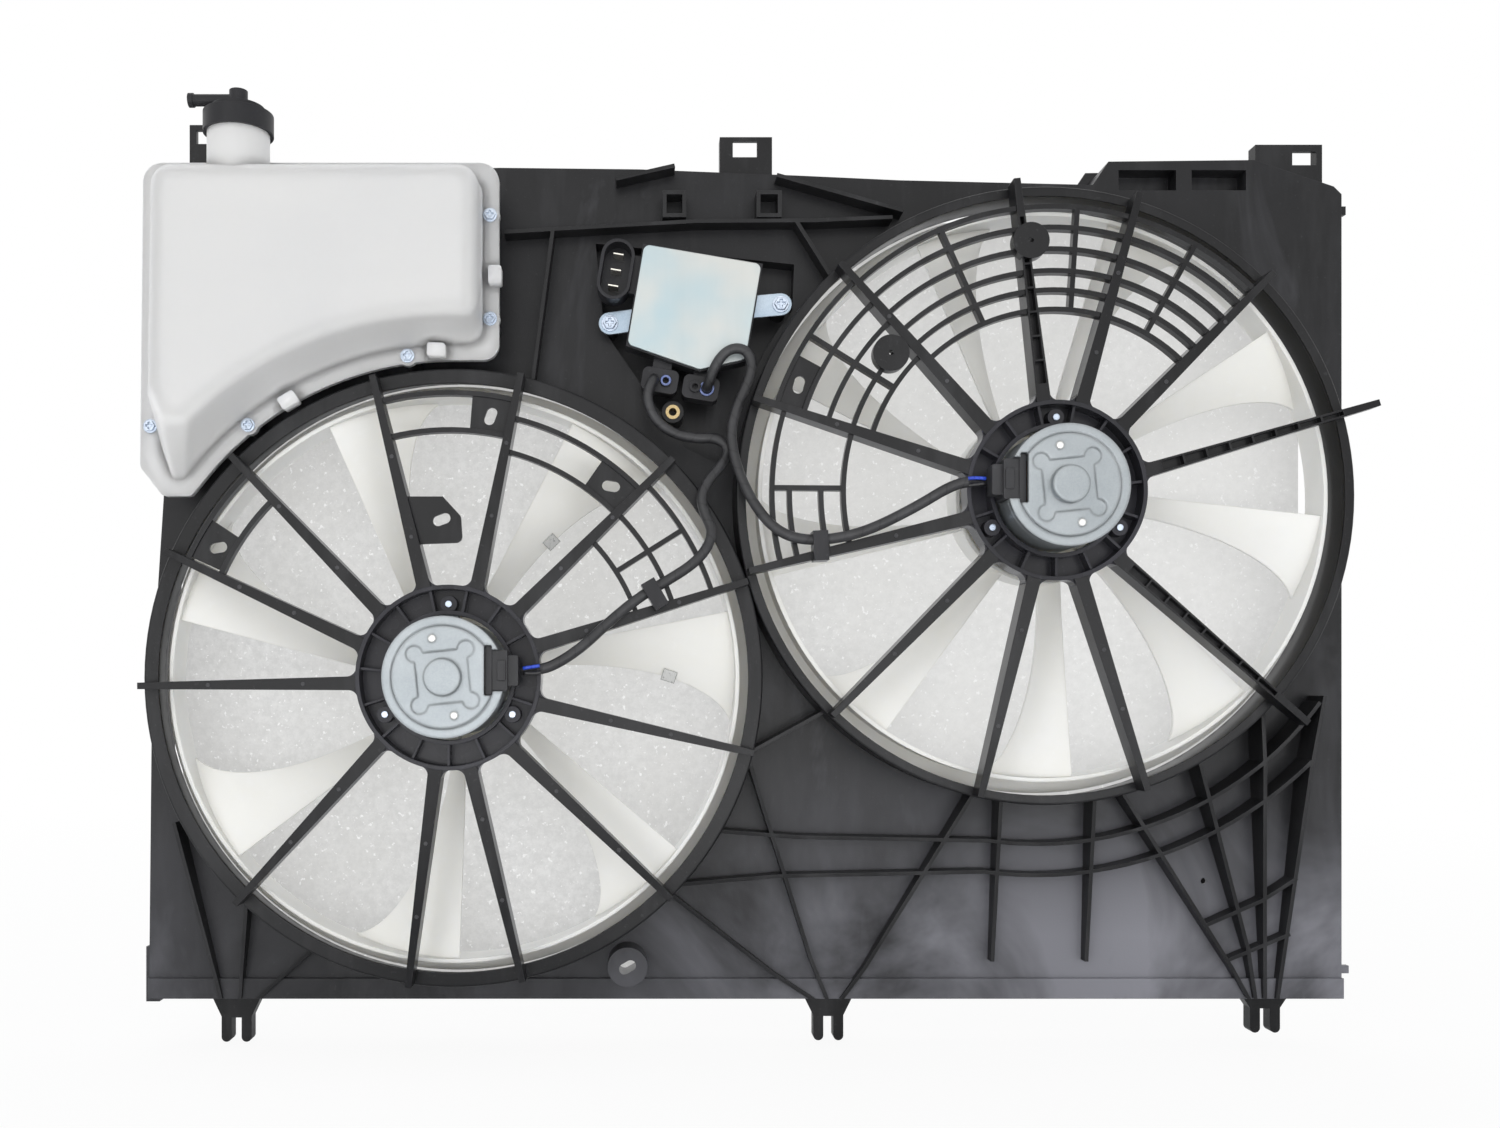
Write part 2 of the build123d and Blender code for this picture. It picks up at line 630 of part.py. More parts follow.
def top_tab(left, right, top, window_centre, window_size):
    """A windowed plate above the top wall with a rib down each side."""
    foot = TOP - 10
    edge_left = bar((left + WALL / 2, foot), (left + WALL / 2, top), WALL)
    edge_right = bar((right - WALL / 2, foot), (right - WALL / 2, top), WALL)
    sheet = Pos((left + right) / 2, (foot + top) / 2) * Rectangle(right - left, top - foot)
    window = Pos(*window_centre) * Rectangle(*window_size)
    tab = plate(sheet - window, TAB_LOW, TAB_LOW + TAB_THICKNESS)
    tab += plate(edge_left + edge_right, WALL + 2, TAB_LOW)
    return tab - plate(panel_outline(), 0, PANEL_HEIGHT)


def top_tabs():
    centre = top_tab(-15, 19.5, TOP + 40, (1.6, TOP + 32), (16, 10.5))
    right = top_tab(SIDE - 45, SIDE - 1, TOP + 35, (SIDE - 12.7, TOP + 26), (16, 9))
    left = top_tab(-365, -317, TOP + 48, (-357, TOP + 40), (7, 9))
    return all_of([centre, right, left])


FOOT_LOW = 6
FOOT_HIGH = 16
PRONG_WIDTH = 6.6
PRONG_GAP = 6.6


def foot(x, length):
    """A forked foot below the bottom wall, with two round-ended prongs."""
    spread = (PRONG_GAP + PRONG_WIDTH) / 2
    crossbar = length - 16
    neck = polygon([(x - 19, 2), (x + 19, 2), (x + spread + 3, -crossbar), (x - spread - 3, -crossbar)])
    flat = neck
    for side in (-1, 1):
        end = (x + side * spread, -length + PRONG_WIDTH / 2)
        flat += bar((x + side * spread, -crossbar + 4), end, PRONG_WIDTH)
        flat += Pos(*end) * Circle(PRONG_WIDTH / 2)
    outline = panel_outline()
    skirt_lip = offset(outline, LIP_WIDTH, kind=Kind.INTERSECTION)
    return plate(flat, FOOT_LOW, FOOT_HIGH) - plate(outline, 0, PANEL_HEIGHT) - plate(skirt_lip, 0, WALL)


def forked_feet():
    return all_of([foot(-333.7, 34), foot(56.5, 33), foot(344.5, 28)])


# Fans

# Each fan's blade count and its first blade: the angles of its edges at the ring and how far they sweep
LEFT_BLADES = (7, 194, 219.4, 24, 9.4)
RIGHT_BLADES = (9, 17, 36.2, 18.9, 9.4)
BLADE_ROOT = HUB_CUP_RADIUS - WALL / 2
BLADE_TIP = FAN_RING_RADIUS - WALL / 2
BLADE_LOW = FAN_RING_LOW + BLADE_EDGE_MARGIN
BLADE_RISE = HUB_CUP_HIGH - BLADE_EDGE_MARGIN - BLADE_LOW
BLADE_CAMBER = 0.35
BLADE_OVERREACH = 4


def blade_hook(blades, radius):
    """The angle of a blade's hooked front edge at a radius."""
    return blades[1] + blades[3] * sqrt(1 - radius / FAN_RING_RADIUS)


def blade_back(blades, radius):
    """The angle of a blade's straight rear edge at a radius."""
    return blades[2] + blades[4] * (1 - radius / FAN_RING_RADIUS)


def sheet_angle(blades, radius, across):
    """The angle at a share of the way from the sheet's front line to the blade's rear edge."""
    front = blades[1] + blades[3] / sqrt(0.7) * (1 - radius / FAN_RING_RADIUS)
    return front + (blade_back(blades, radius) - front) * across


def sheet_point(blades, radius, across):
    """A point on the middle of the blade's curved sheet, which rises from front to rear."""
    height = BLADE_LOW + BLADE_RISE * (across + BLADE_CAMBER * across * (1 - across))
    return Vector(*polar(radius, sheet_angle(blades, radius, across)), height)


def hook_point(blades, radius, beyond=0):
    """The sheet's point on the hooked edge, or some degrees behind it."""
    front = sheet_angle(blades, radius, 0)
    width = sheet_angle(blades, radius, 1) - front
    return sheet_point(blades, radius, (blade_hook(blades, radius) + beyond - front) / width)


def blade(blades):
    """One twisted blade, cut from a curved sheet along its hooked front edge."""
    first = BLADE_ROOT - BLADE_OVERREACH
    last = BLADE_TIP + BLADE_OVERREACH
    rows = []
    for step in range(7):
        radius = first + (last - first) * step / 6
        rows.append([sheet_point(blades, radius, -0.15 + 1.3 * place / 4) for place in range(5)])
    sheet = thicken(Face.make_surface_from_array_of_points(rows), BLADE_WALL / 2, both=True)
    radii = [BLADE_ROOT] + [share * FAN_RING_RADIUS for share in (0.45, 0.6, 0.75, 0.86, 0.94)] + [BLADE_TIP]
    root_hook = blade_hook(blades, BLADE_ROOT)
    tip_hook = blade_hook(blades, BLADE_TIP)
    root_back = blade_back(blades, BLADE_ROOT)
    tip_back = blade_back(blades, BLADE_TIP)
    outline = make_face([
        Spline(*[polar(radius, blade_hook(blades, radius)) for radius in radii]),
        Line(polar(BLADE_ROOT, root_back), polar(BLADE_TIP, tip_back)),
        CenterArc((0, 0), BLADE_TIP, tip_hook, tip_back - tip_hook),
        CenterArc((0, 0), BLADE_ROOT, root_hook, root_back - root_hook),
    ])
    return sheet & plate(outline, FAN_RING_LOW, HUB_CUP_HIGH)


def fan_hub():
    """A cup over the motor with a bored boss and ribs in its floor."""
    cup = disc(HUB_CUP_RADIUS, HUB_CUP_LOW, HUB_CUP_HIGH)
    low_rim = cup.edges().filter_by(GeomType.CIRCLE).sort_by(Axis.Z)[0]
    cup = fillet(low_rim, 5)
    cup -= disc(HUB_CUP_RADIUS - WALL, HUB_CUP_LOW + WALL, HUB_CUP_HIGH + 1)
    cup += disc(12, HUB_CUP_LOW - 3, CAN_LOW - 2)
    for number in range(8):
        angle = number * 45
        spine = bar(polar(11, angle), polar(HUB_CUP_RADIUS - WALL + 0.5, angle), 2)
        cup += plate(spine, HUB_CUP_LOW + WALL / 2, CAN_LOW - 3)
    return cup - disc(SHAFT_RADIUS + PRESS_FIT, 0, CAN_LOW)


def fan_ring():
    """The band round the blade tips, flanged on the radiator side."""
    inside = FAN_RING_RADIUS - WALL
    band = ring(FAN_RING_RADIUS, inside, FAN_RING_LOW, FAN_RING_HIGH)
    return band + ring(FAN_RING_RADIUS + FAN_RING_FLANGE, inside, FAN_RING_LOW, FAN_RING_LOW + WALL)


def fan(axis, blades):
    pattern = blade(blades)
    count = blades[0]
    wheel = fan_hub().fuse(fan_ring(), *[Rot(0, 0, number * 360 / count) * pattern for number in range(count)])
    return Pos(*axis) * wheel


def fan_nut(axis):
    top = HUB_CUP_LOW - 3
    nut = plate(RegularPolygon(7.5, 6), top - 5, top) - disc(SHAFT_RADIUS + PRESS_FIT, 0, top + 1)
    return Pos(*axis) * nut


# Motors

def connector_block(near, far, width, low, high, side):
    """One step of the connector, between two distances from the motor's axis."""
    middle = (side * (near + far) / 2, CONNECTOR_OFFSET)
    return plate(Pos(*middle) * RectangleRounded(far - near, width, 1), low, high)


def motor_notch(axis, side, clearance):
    """The room that the connector takes out of the motor's edge, wider behind its flange."""
    near = CONNECTOR_REACH - CONNECTOR_LENGTH
    flange_end = near + CONNECTOR_FLANGE
    low = CONNECTOR_LOW - clearance
    wide = connector_block(near - clearance, flange_end + clearance, CONNECTOR_WIDTH + 2 * clearance,
                           low, BOSS_HIGH, side)
    narrow = connector_block(near + 1, CONNECTOR_REACH + 2 * MOTOR_WALL, CONNECTOR_BODY_WIDTH + 2 * clearance,
                             low, BOSS_HIGH, side)
    return Pos(*axis) * (wide + narrow)


def motor_can(axis, side):
    """A drawn can with a bearing seat in its closed end and three fixing ears."""
    can = ring(MOTOR_RADIUS, MOTOR_RADIUS - MOTOR_WALL, CAN_LOW, CAN_HIGH)
    can += disc(MOTOR_RADIUS, CAN_LOW, CAN_LOW + MOTOR_WALL)
    can += disc(BUSH_RADIUS + MOTOR_WALL, CAN_LOW, CAN_LOW + BUSH_LENGTH)
    can -= disc(BUSH_RADIUS + PRESS_FIT, CAN_LOW - 1, CAN_LOW + BUSH_LENGTH + 1)
    ear_top = MOTOR_RING_LOW
    for angle in EAR_ANGLES:
        place = polar(EAR_CIRCLE, angle)
        start = polar(MOTOR_RADIUS - MOTOR_WALL / 2, angle)
        ear = bar(start, place, 2 * EAR_RADIUS) + Pos(*place) * Circle(EAR_RADIUS)
        ear -= Pos(*place) * Circle(MOTOR_SCREW_RADIUS + CLEARANCE)
        can += plate(ear - Circle(MOTOR_RADIUS - MOTOR_WALL), ear_top - EAR_THICKNESS, ear_top)
    return Pos(*axis) * can - motor_notch(axis, side, CLEARANCE)


STAMP_DEPTH = 1.4
STAMP_HALF = 15.5
STAMP_LOBE_RADIUS = 5
STAMP_LOBE_CIRCLE = 21.5
STAMP_TURN = 6
RIVET_CIRCLE = 23.5
RIVET_RADIUS = 2.5
RIVET_ANGLES = (105, 287)


def motor_end_bell(axis, side):
    """The pressed cover: a flat rim, a grooved plateau and a sunk square with lobes round the bearing boss."""
    step = MOTOR_RADIUS - 6
    bell = disc(MOTOR_RADIUS, CAN_HIGH, BELL_HIGH - 1) + disc(step, CAN_HIGH, BELL_HIGH)
    bell -= ring(step + 0.8, step, BELL_HIGH - 2, BELL_HIGH)
    stamp = RectangleRounded(2 * STAMP_HALF, 2 * STAMP_HALF, 3)
    for number in range(4):
        stamp += Pos(*polar(STAMP_LOBE_CIRCLE, 45 + 90 * number)) * Circle(STAMP_LOBE_RADIUS)
    bell -= plate(Rot(0, 0, STAMP_TURN) * stamp, BELL_HIGH - STAMP_DEPTH, BELL_HIGH)
    boss = disc(BOSS_RADIUS, CAN_HIGH, BOSS_HIGH)
    bell += fillet(boss.edges().sort_by(Axis.Z)[-1], 1)
    for angle in RIVET_ANGLES:
        bell += disc(RIVET_RADIUS, CAN_HIGH, BELL_HIGH + 0.8, polar(RIVET_CIRCLE, angle))
    bell += ring(MOTOR_RADIUS - MOTOR_WALL - CLEARANCE, MOTOR_RADIUS - 2 * MOTOR_WALL, CAN_HIGH - 3, CAN_HIGH)
    bell -= disc(step - MOTOR_WALL, CAN_HIGH - 4, BELL_HIGH - MOTOR_WALL - STAMP_DEPTH)
    bell += disc(BUSH_RADIUS + MOTOR_WALL, BOSS_HIGH - 1 - BUSH_LENGTH - 1, BELL_HIGH)
    bell -= disc(BUSH_RADIUS + PRESS_FIT, CAN_LOW, BOSS_HIGH - 1.5)
    return Pos(*axis) * bell - motor_notch(axis, side, CLEARANCE)


def bushes(axis):
    """One plain bearing in the can and one in the end bell."""
    low = ring(BUSH_RADIUS, SHAFT_RADIUS + RUNNING_FIT, CAN_LOW, CAN_LOW + BUSH_LENGTH, axis)
    top = BOSS_HIGH - 2
    high = ring(BUSH_RADIUS, SHAFT_RADIUS + RUNNING_FIT, top - BUSH_LENGTH, top, axis)
    return all_of([low, high])


ARMATURE_LOW = CAN_LOW + BUSH_LENGTH + 3
ARMATURE_HIGH = MOTOR_RING_HIGH - 1
COMMUTATOR_HIGH = ARMATURE_HIGH + 13


def motor_shaft(axis):
    shaft = disc(SHAFT_RADIUS, SHAFT_LOW, SHAFT_HIGH)
    return Pos(*axis) * shaft


def armature(axis):
    """Slotted core with its windings' ends, pressed on the shaft."""
    winding = 6
    core = disc(ARMATURE_RADIUS, ARMATURE_LOW + winding, ARMATURE_HIGH - winding)
    for number in range(10):
        place = polar(ARMATURE_RADIUS, number * 36)
        core -= plate(bar(polar(ARMATURE_RADIUS - 5, number * 36), place, 3, 1), 0, ARMATURE_HIGH)
    core += disc(ARMATURE_RADIUS - 4, ARMATURE_LOW, ARMATURE_HIGH)
    return Pos(*axis) * (core - disc(SHAFT_RADIUS + PRESS_FIT, 0, BOSS_HIGH))


def commutator(axis):
    body = ring(COMMUTATOR_RADIUS, SHAFT_RADIUS + PRESS_FIT, ARMATURE_HIGH, COMMUTATOR_HIGH)
    for number in range(10):
        groove = bar(polar(COMMUTATOR_RADIUS - 1, number * 36), polar(COMMUTATOR_RADIUS + 1, number * 36), 0.8)
        body -= plate(groove, ARMATURE_HIGH + 2, COMMUTATOR_HIGH)
    return Pos(*axis) * body


def magnets(axis):
    outside = MOTOR_RADIUS - MOTOR_WALL - PRESS_FIT
    inside = ARMATURE_RADIUS + AIR_GAP
    flats = [ring_sector(outside, inside, start, start + 76) for start in (7, 97, 187, 277)]
    return all_of([Pos(*axis) * plate(flat, ARMATURE_LOW, ARMATURE_HIGH) for flat in flats])


BRUSH_LOW = ARMATURE_HIGH + 3
BRUSH_HIGH = BRUSH_LOW + 7


def brush_plate(axis, side):
    """The insulating card that carries the brushes, resting in the can's mouth."""
    card = ring(MOTOR_RADIUS - MOTOR_WALL - PRESS_FIT, COMMUTATOR_RADIUS + 2, BRUSH_HIGH, BRUSH_HIGH + 2.5)
    near = CONNECTOR_REACH - CONNECTOR_LENGTH - CLEARANCE
    notch = connector_block(near, MOTOR_RADIUS + 1, CONNECTOR_WIDTH + 2 * CLEARANCE, BRUSH_LOW, BOSS_HIGH, side)
    return Pos(*axis) * (card - notch)


def brushes(axis):
    """Four carbon blocks round the commutator, hung from the card."""
    near = COMMUTATOR_RADIUS + RUNNING_FIT * 2
    blocks = []
    for number in range(4):
        angle = 45 + number * 90
        flat = bar(polar(near, angle), polar(near + 10, angle), 5) - Circle(near)
        blocks.append(Pos(*axis) * plate(flat, BRUSH_LOW, BRUSH_HIGH))
    return all_of(blocks)


def motor_connector(axis, side):
    """A dark plug in three steps: a flange behind the motor's rim, the body and a neck for the lead."""
    near = CONNECTOR_REACH - CONNECTOR_LENGTH
    flange_end = near + CONNECTOR_FLANGE
    plug = connector_block(near, flange_end, CONNECTOR_WIDTH, CONNECTOR_LOW, CONNECTOR_HIGH + 1, side)
    plug += connector_block(flange_end - 1, CONNECTOR_BODY_END, CONNECTOR_BODY_WIDTH, CONNECTOR_LOW,
                            CONNECTOR_HIGH, side)
    plug += connector_block(CONNECTOR_BODY_END - 2, CONNECTOR_REACH, CONNECTOR_NECK_WIDTH, CONNECTOR_LOW + 2,
                            CONNECTOR_HIGH - 3, side)
    latch = connector_block(CONNECTOR_BODY_END - 6, CONNECTOR_BODY_END - 1, CONNECTOR_NECK_WIDTH - 6,
                            CONNECTOR_HIGH - 1, CONNECTOR_HIGH + 1.2, side)
    return Pos(*axis) * (plug + latch)


def motor_screws(axis):
    """Three screws from the radiator side through the can's ears into the motor ring."""
    screws = []
    top = MOTOR_RING_LOW - EAR_THICKNESS
    for angle in EAR_ANGLES:
        place = polar(EAR_CIRCLE, angle, axis)
        head = disc(SCREW_HEAD_RADIUS, top - SCREW_HEAD_HEIGHT, top, place)
        screws.append(head + disc(MOTOR_SCREW_RADIUS, top, MOTOR_RING_HIGH - 2, place))
    return all_of(screws)


# Leads

LEFT_ROUTE = [
    (-59, 393, 60), (-59, 393, 67), (-64.5, 380, 69), (-58, 365, 67), (-46, 357, 66.5),
    (-32, 354.5, 66.5), (-19.5, 355, 67), (-12, 347, 69), (-17, 337, 73), (-26, 327, 77),
    (-31, 316, 79.5), (-28, 305, 81), (-23.5, 295, 83.5), (-27, 284, 87), (-36, 274, 89.5),
    (-50, 265, 91), (-68, 254.5, 92.5), (-87, 238.5, 97), (-101, 225, 101), (-114, 215.5, 103.5),
    (-127, LEFT_AXIS[1] + CONNECTOR_OFFSET, LEAD_HEIGHT),
]
RIGHT_ROUTE = [
    (-26, 387, 60), (-26, 387, 68), (-21, 400, 73), (-13, 409, 73), (-3, 409, 73),
    (2, 400, 73), (-1, 388, 73.5), (-8, 373, 75), (-12.5, 357, 77), (-9, 335, 79.5),
    (1, 312, 83), (14, 295, 88.5), (30, 288.5, 90.5), (52, 289.5, 92), (72, 295, 95),
    (98, 308, 99.5), (116, 319, 103), (128, RIGHT_AXIS[1] + CONNECTOR_OFFSET, LEAD_HEIGHT),
]


def connector_exit(axis, side):
    return (axis[0] + side * CONNECTOR_REACH, axis[1] + CONNECTOR_OFFSET, LEAD_HEIGHT)


def route_radii(points):
    """As large an arc at each corner as its two runs allow."""
    radii = []
    for before, here, after in zip(points, points[1:], points[2:]):
        first = Vector(*here) - Vector(*before)
        second = Vector(*after) - Vector(*here)
        turn = first.get_angle(second)
        radii.append(0.45 * min(first.length, second.length) / tan(radians(turn / 2)))
    return radii


def lead(points):
    """A loom of one thickness swept along straight runs and tangent arcs."""
    radii = route_radii(points)
    path = FilletPolyline(*points, radius=radii)
    section = Plane(origin=path @ 0, z_dir=path % 0) * Circle(LEAD_RADIUS)
    tube = sweep(section, path=path)
    expected = LEAD_RADIUS ** 2 * 3.14159265 * path.length
    print("lead: length %.0f, smallest radius %.1f, volume share %.4f" % (
        path.length, min(radii), tube.volume / expected))
    return tube


def lead_clip(near, far, carriers):
    """A small moulded clip that stands on a spoke and its guard and closes over the lead."""
    start = Vector(*near)
    end = Vector(*far)
    middle = (start + end) / 2
    turn = degrees(atan2(end.Y - start.Y, end.X - start.X))
    top = middle.Z + LEAD_RADIUS + 2
    flat = Pos(middle.X, middle.Y - 4) * Rot(0, 0, turn) * Rectangle(9, 18)
    block = plate(flat, top - 14, top)
    reach = (end - start).normalized() * 8
    bore = Plane(origin=middle - reach, z_dir=reach) * Cylinder(
        LEAD_RADIUS + 0.45, 16, align=(Align.CENTER, Align.CENTER, Align.MIN))
    return cut_by(block - bore, carriers)


# Reservoir

# Each outline's insets from the flange at the left, right, top, barrel side and foot,
# the angle where its round side ends, and the width of its foot's slant
TANK_SHAPES = {
    "flange": (0, 0, 0, 0, 0, 141, 14),
    "body": (14, 10, 8, 9, 8, 140.5, 6),
    "crown": (17, 9.5, 14.5, 19.5, 40, 133, 8),
}
TANK_CORNERS = (12, 12, 6, 4, 4, 10)
TANK_LEFT = -377
TANK_RIGHT = -155
TANK_TOP = 524
TANK_FOOT = 318
TANK_ARC = BARREL_RADIUS + 4.5
# Snap tabs on the seam as place and turn
TANK_TABS = [(-157, 453, 90), (-193, 407, -2), (-284, 376, 31)]


def tank_outline(kind, shrink=0):
    """The reservoir's outline at its flange, at the foot of its walls or round its flat front."""
    left, right, top, low, foot, end, slant = TANK_SHAPES[kind]
    left += shrink
    right += shrink
    top += shrink
    foot += shrink
    arc = TANK_ARC + low + shrink
    last = polar(arc, end, LEFT_AXIS)
    foot_y = TANK_FOOT + foot
    run = (last[1] - foot_y) / -cos(radians(end))
    points = [
        (TANK_RIGHT - right, TANK_TOP - top),
        (TANK_LEFT + left + 2, TANK_TOP - top),
        (TANK_LEFT + left, foot_y + 18),
        (TANK_LEFT + left + slant, foot_y),
        (last[0] - run * sin(radians(end)), foot_y),
        polar(arc / cos(radians((end - 90) / 2)), (end + 90) / 2, LEFT_AXIS),
        (TANK_RIGHT - right, LEFT_AXIS[1] + arc),
    ]
    corners = [radius - shrink for radius in TANK_CORNERS]
    corners.insert(5, arc)
    return make_face(FilletPolyline(*points, radius=corners, close=True))


def tank_shell(low, high, low_kind, high_kind, shrink=0):
    """A drafted solid between two of the tank's outlines."""
    base = Pos(0, 0, low) * tank_outline(low_kind, shrink)
    crown = Pos(0, 0, high) * tank_outline(high_kind, shrink)
    return loft([base, crown], ruled=True)


def upright(x, height, low, high, radius, inner=0):
    """A round piece whose axis runs up the standing assembly."""
    flat = Circle(radius)
    if inner:
        flat = flat - Circle(inner)
    return extrude(Plane(origin=(x, low, height), x_dir=(1, 0, 0), z_dir=(0, 1, 0)) * flat, high - low)


def reservoir_front():
    """The engine-side half: flange, drafted walls, flat front and the filler neck."""
    seam = TANK_FLANGE_HEIGHT
    inner_top = TANK_FRONT - TANK_WALL
    body = tank_shell(seam, TANK_FRONT, "body", "crown")
    front_edges = body.edges().filter_by(lambda edge: edge.center().Z > TANK_FRONT - 0.01)
    body = fillet(front_edges, TANK_EDGE)
    body += plate(tank_outline("flange"), seam, seam + TANK_FLANGE_WALL)
    for place in tank_screw_places():
        body += disc(TANK_SCREW_RADIUS + 4, seam, seam + TANK_FLANGE_WALL, place)
    for x, y, turn in TANK_TABS:
        snap = Pos(x, y) * Rot(0, 0, turn) * RectangleRounded(11, 8, 1.5)
        body += plate(snap, seam, seam + 4 * TANK_FLANGE_WALL)
    neck_foot = TANK_TOP - TANK_SHAPES["crown"][2] - 4
    body += upright(NECK_X, NECK_HEIGHT, neck_foot, NECK_TOP, NECK_RADIUS)
    body -= tank_shell(seam, inner_top, "body", "crown", TANK_WALL)
    body -= upright(NECK_X, NECK_HEIGHT, neck_foot - 12, NECK_TOP, NECK_RADIUS - TANK_WALL)
    for place in tank_screw_places():
        body -= disc(TANK_SCREW_RADIUS + CLEARANCE, seam - 1, seam + TANK_FLANGE_WALL + 1, place)
    return body


def reservoir_back():
    """The shroud-side half, a shallow tray with the same flange."""
    seam = TANK_FLANGE_HEIGHT
    body = plate(tank_outline("body"), TANK_BACK, seam)
    body = fillet(body.edges().filter_by(lambda edge: edge.center().Z < TANK_BACK + 0.01), 4)
    body += plate(tank_outline("flange"), seam - TANK_FLANGE_WALL, seam)
    for place in tank_screw_places():
        body += disc(TANK_SCREW_RADIUS + 4, seam - TANK_FLANGE_WALL, seam, place)
    body -= plate(tank_outline("body", TANK_WALL), TANK_BACK + TANK_WALL, seam + 1)
    for place in tank_screw_places():
        body -= disc(TANK_SCREW_RADIUS + CLEARANCE, seam - TANK_FLANGE_WALL - 1, seam + 1, place)
    return body


def reservoir_screws():
    screws = []
    seat = TANK_FLANGE_HEIGHT + TANK_FLANGE_WALL
    for place in tank_screw_places():
        head = disc(SCREW_HEAD_RADIUS, seat, seat + SCREW_HEAD_HEIGHT, place)
        screws.append(head + disc(TANK_SCREW_RADIUS, seat - 18, seat, place))
    return all_of(screws)


CAP_RADIUS = NECK_RADIUS + CLEARANCE + CAP_WALL
CAP_UNDERSIDE = NECK_TOP + SEAL_THICKNESS
CAP_TOP = CAP_UNDERSIDE + CAP_DEPTH
NIPPLE_BEAD = 3
STEM_RADIUS = NIPPLE_RADIUS + 2
NIPPLE_HEIGHT = CAP_TOP + NIPPLE_RADIUS + 1.5


def reservoir_cap():
    """A push-on cap with a stem and a hose nipple that points to the left."""
    cap = upright(NECK_X, NECK_HEIGHT, NECK_TOP - CAP_SKIRT, CAP_TOP - 4, CAP_RADIUS)
    cap += upright(NECK_X, NECK_HEIGHT, CAP_TOP - 4, CAP_TOP, CAP_RADIUS - 5)
    cap += upright(NECK_X, NECK_HEIGHT, CAP_TOP - 1, NIPPLE_HEIGHT + STEM_RADIUS, STEM_RADIUS)
    cap -= upright(NECK_X, NECK_HEIGHT, NECK_TOP - CAP_SKIRT, CAP_UNDERSIDE, NECK_RADIUS + CLEARANCE)
    nipple_end = NECK_X - STEM_RADIUS - NIPPLE_LENGTH
    across = Plane(origin=(nipple_end, NIPPLE_HEIGHT, NECK_HEIGHT), z_dir=(1, 0, 0))
    cap += extrude(across * Circle(NIPPLE_RADIUS), NECK_X - nipple_end)
    cap += extrude(across * Circle(NIPPLE_RADIUS + 0.7), NIPPLE_BEAD)
    cap -= extrude(across * Circle(NIPPLE_BORE), NECK_X - nipple_end)
    cap -= upright(NECK_X, NECK_HEIGHT, CAP_UNDERSIDE - 1, NIPPLE_HEIGHT, NIPPLE_BORE)
    return cap


def cap_seal():
    return upright(NECK_X, NECK_HEIGHT, NECK_TOP, CAP_UNDERSIDE, NECK_RADIUS, TUBE_RADIUS + CLEARANCE)


def dip_tube():
    return upright(NECK_X, NECK_HEIGHT, TUBE_BOTTOM, CAP_UNDERSIDE, TUBE_RADIUS, NIPPLE_BORE)


# Controller

CONTROLLER_PLACE = (-34, 438)
CONTROLLER_TURN = -9.6
INSERT_PLACE = (-47, 374.5)


def controller_frame():
    return Pos(*CONTROLLER_PLACE) * Rot(0, 0, CONTROLLER_TURN)


def controller_outline():
    """The cover's five-cornered outline, about its own middle."""
    return polygon([(-37, 32), (37, 32), (37, -28), (10, -39), (-37, -31)])


def bracket_ear_places():
    """The two screw places beside the controller."""
    places = []
    for x, y in ((-51, -16), (54, 14)):
        spot = controller_frame() * Location((x, y, 0))
        places.append((spot.position.X, spot.position.Y))
    return places


def controller_bracket():
    """A bent sheet under the controller with an ear at each side."""
    flat = controller_outline()
    flat = controller_frame() * offset(flat, -1, kind=Kind.INTERSECTION)
    for place in bracket_ear_places():
        flat += bar(place, CONTROLLER_PLACE, 14) + Pos(*place) * Circle(7)
    for place in bracket_ear_places():
        flat -= Pos(*place) * Circle(TANK_SCREW_RADIUS + CLEARANCE)
    return plate(flat, CONTROLLER_LOW - BRACKET_THICKNESS, CONTROLLER_LOW)


def supply_socket_outline():
    return Pos(-52, 14) * SlotOverall(38, 21, rotation=90)


def controller_housing():
    """A shallow box closed by the cover, with the oval supply socket on its left side."""
    outline = offset(controller_outline(), 1, kind=Kind.INTERSECTION)
    box = plate(outline, CONTROLLER_LOW, CONTROLLER_HIGH)
    box -= plate(offset(outline, -CONTROLLER_WALL, kind=Kind.INTERSECTION), CONTROLLER_LOW + CONTROLLER_WALL,
                 CONTROLLER_HIGH + 1)
    socket_outline = supply_socket_outline()
    neck = plate(Pos(-42, 14) * Rectangle(14, 24), CONTROLLER_LOW, CONTROLLER_HIGH - 4)
    shell = plate(socket_outline, CONTROLLER_LOW, CONTROLLER_HIGH + 2)
    shell += neck - plate(outline, 0, BARREL_TOP)
    shell -= plate(offset(socket_outline, -CONTROLLER_WALL), CONTROLLER_LOW + 3, CONTROLLER_HIGH + 3)
    return controller_frame() * (box + shell)


def supply_blades():
    """Three flat contacts that stand in the supply socket."""
    blades = [
        controller_frame() * plate(Pos(-52, 14 + step * 10) * Rectangle(6.3, 0.8), CONTROLLER_LOW + 3,
                                   CONTROLLER_HIGH)
        for step in (-1, 0, 1)
    ]
    return all_of(blades)


def controller_cover():
    cover = plate(controller_outline(), CONTROLLER_HIGH, CONTROLLER_HIGH + COVER_THICKNESS)
    corners = cover.edges().filter_by(Axis.Z)
    return controller_frame() * fillet(corners, 4)


def controller_board():
    flat = offset(controller_outline(), -CONTROLLER_WALL, kind=Kind.INTERSECTION)
    low = CONTROLLER_LOW + CONTROLLER_WALL
    return controller_frame() * plate(flat, low, low + 1.6)


def controller_screws():
    screws = []
    for place in bracket_ear_places():
        head = disc(SCREW_HEAD_RADIUS + 1, CONTROLLER_LOW, CONTROLLER_LOW + SCREW_HEAD_HEIGHT, place)
        screws.append(head + disc(TANK_SCREW_RADIUS, CONTROLLER_LOW - 14, CONTROLLER_LOW, place))
    return all_of(screws)


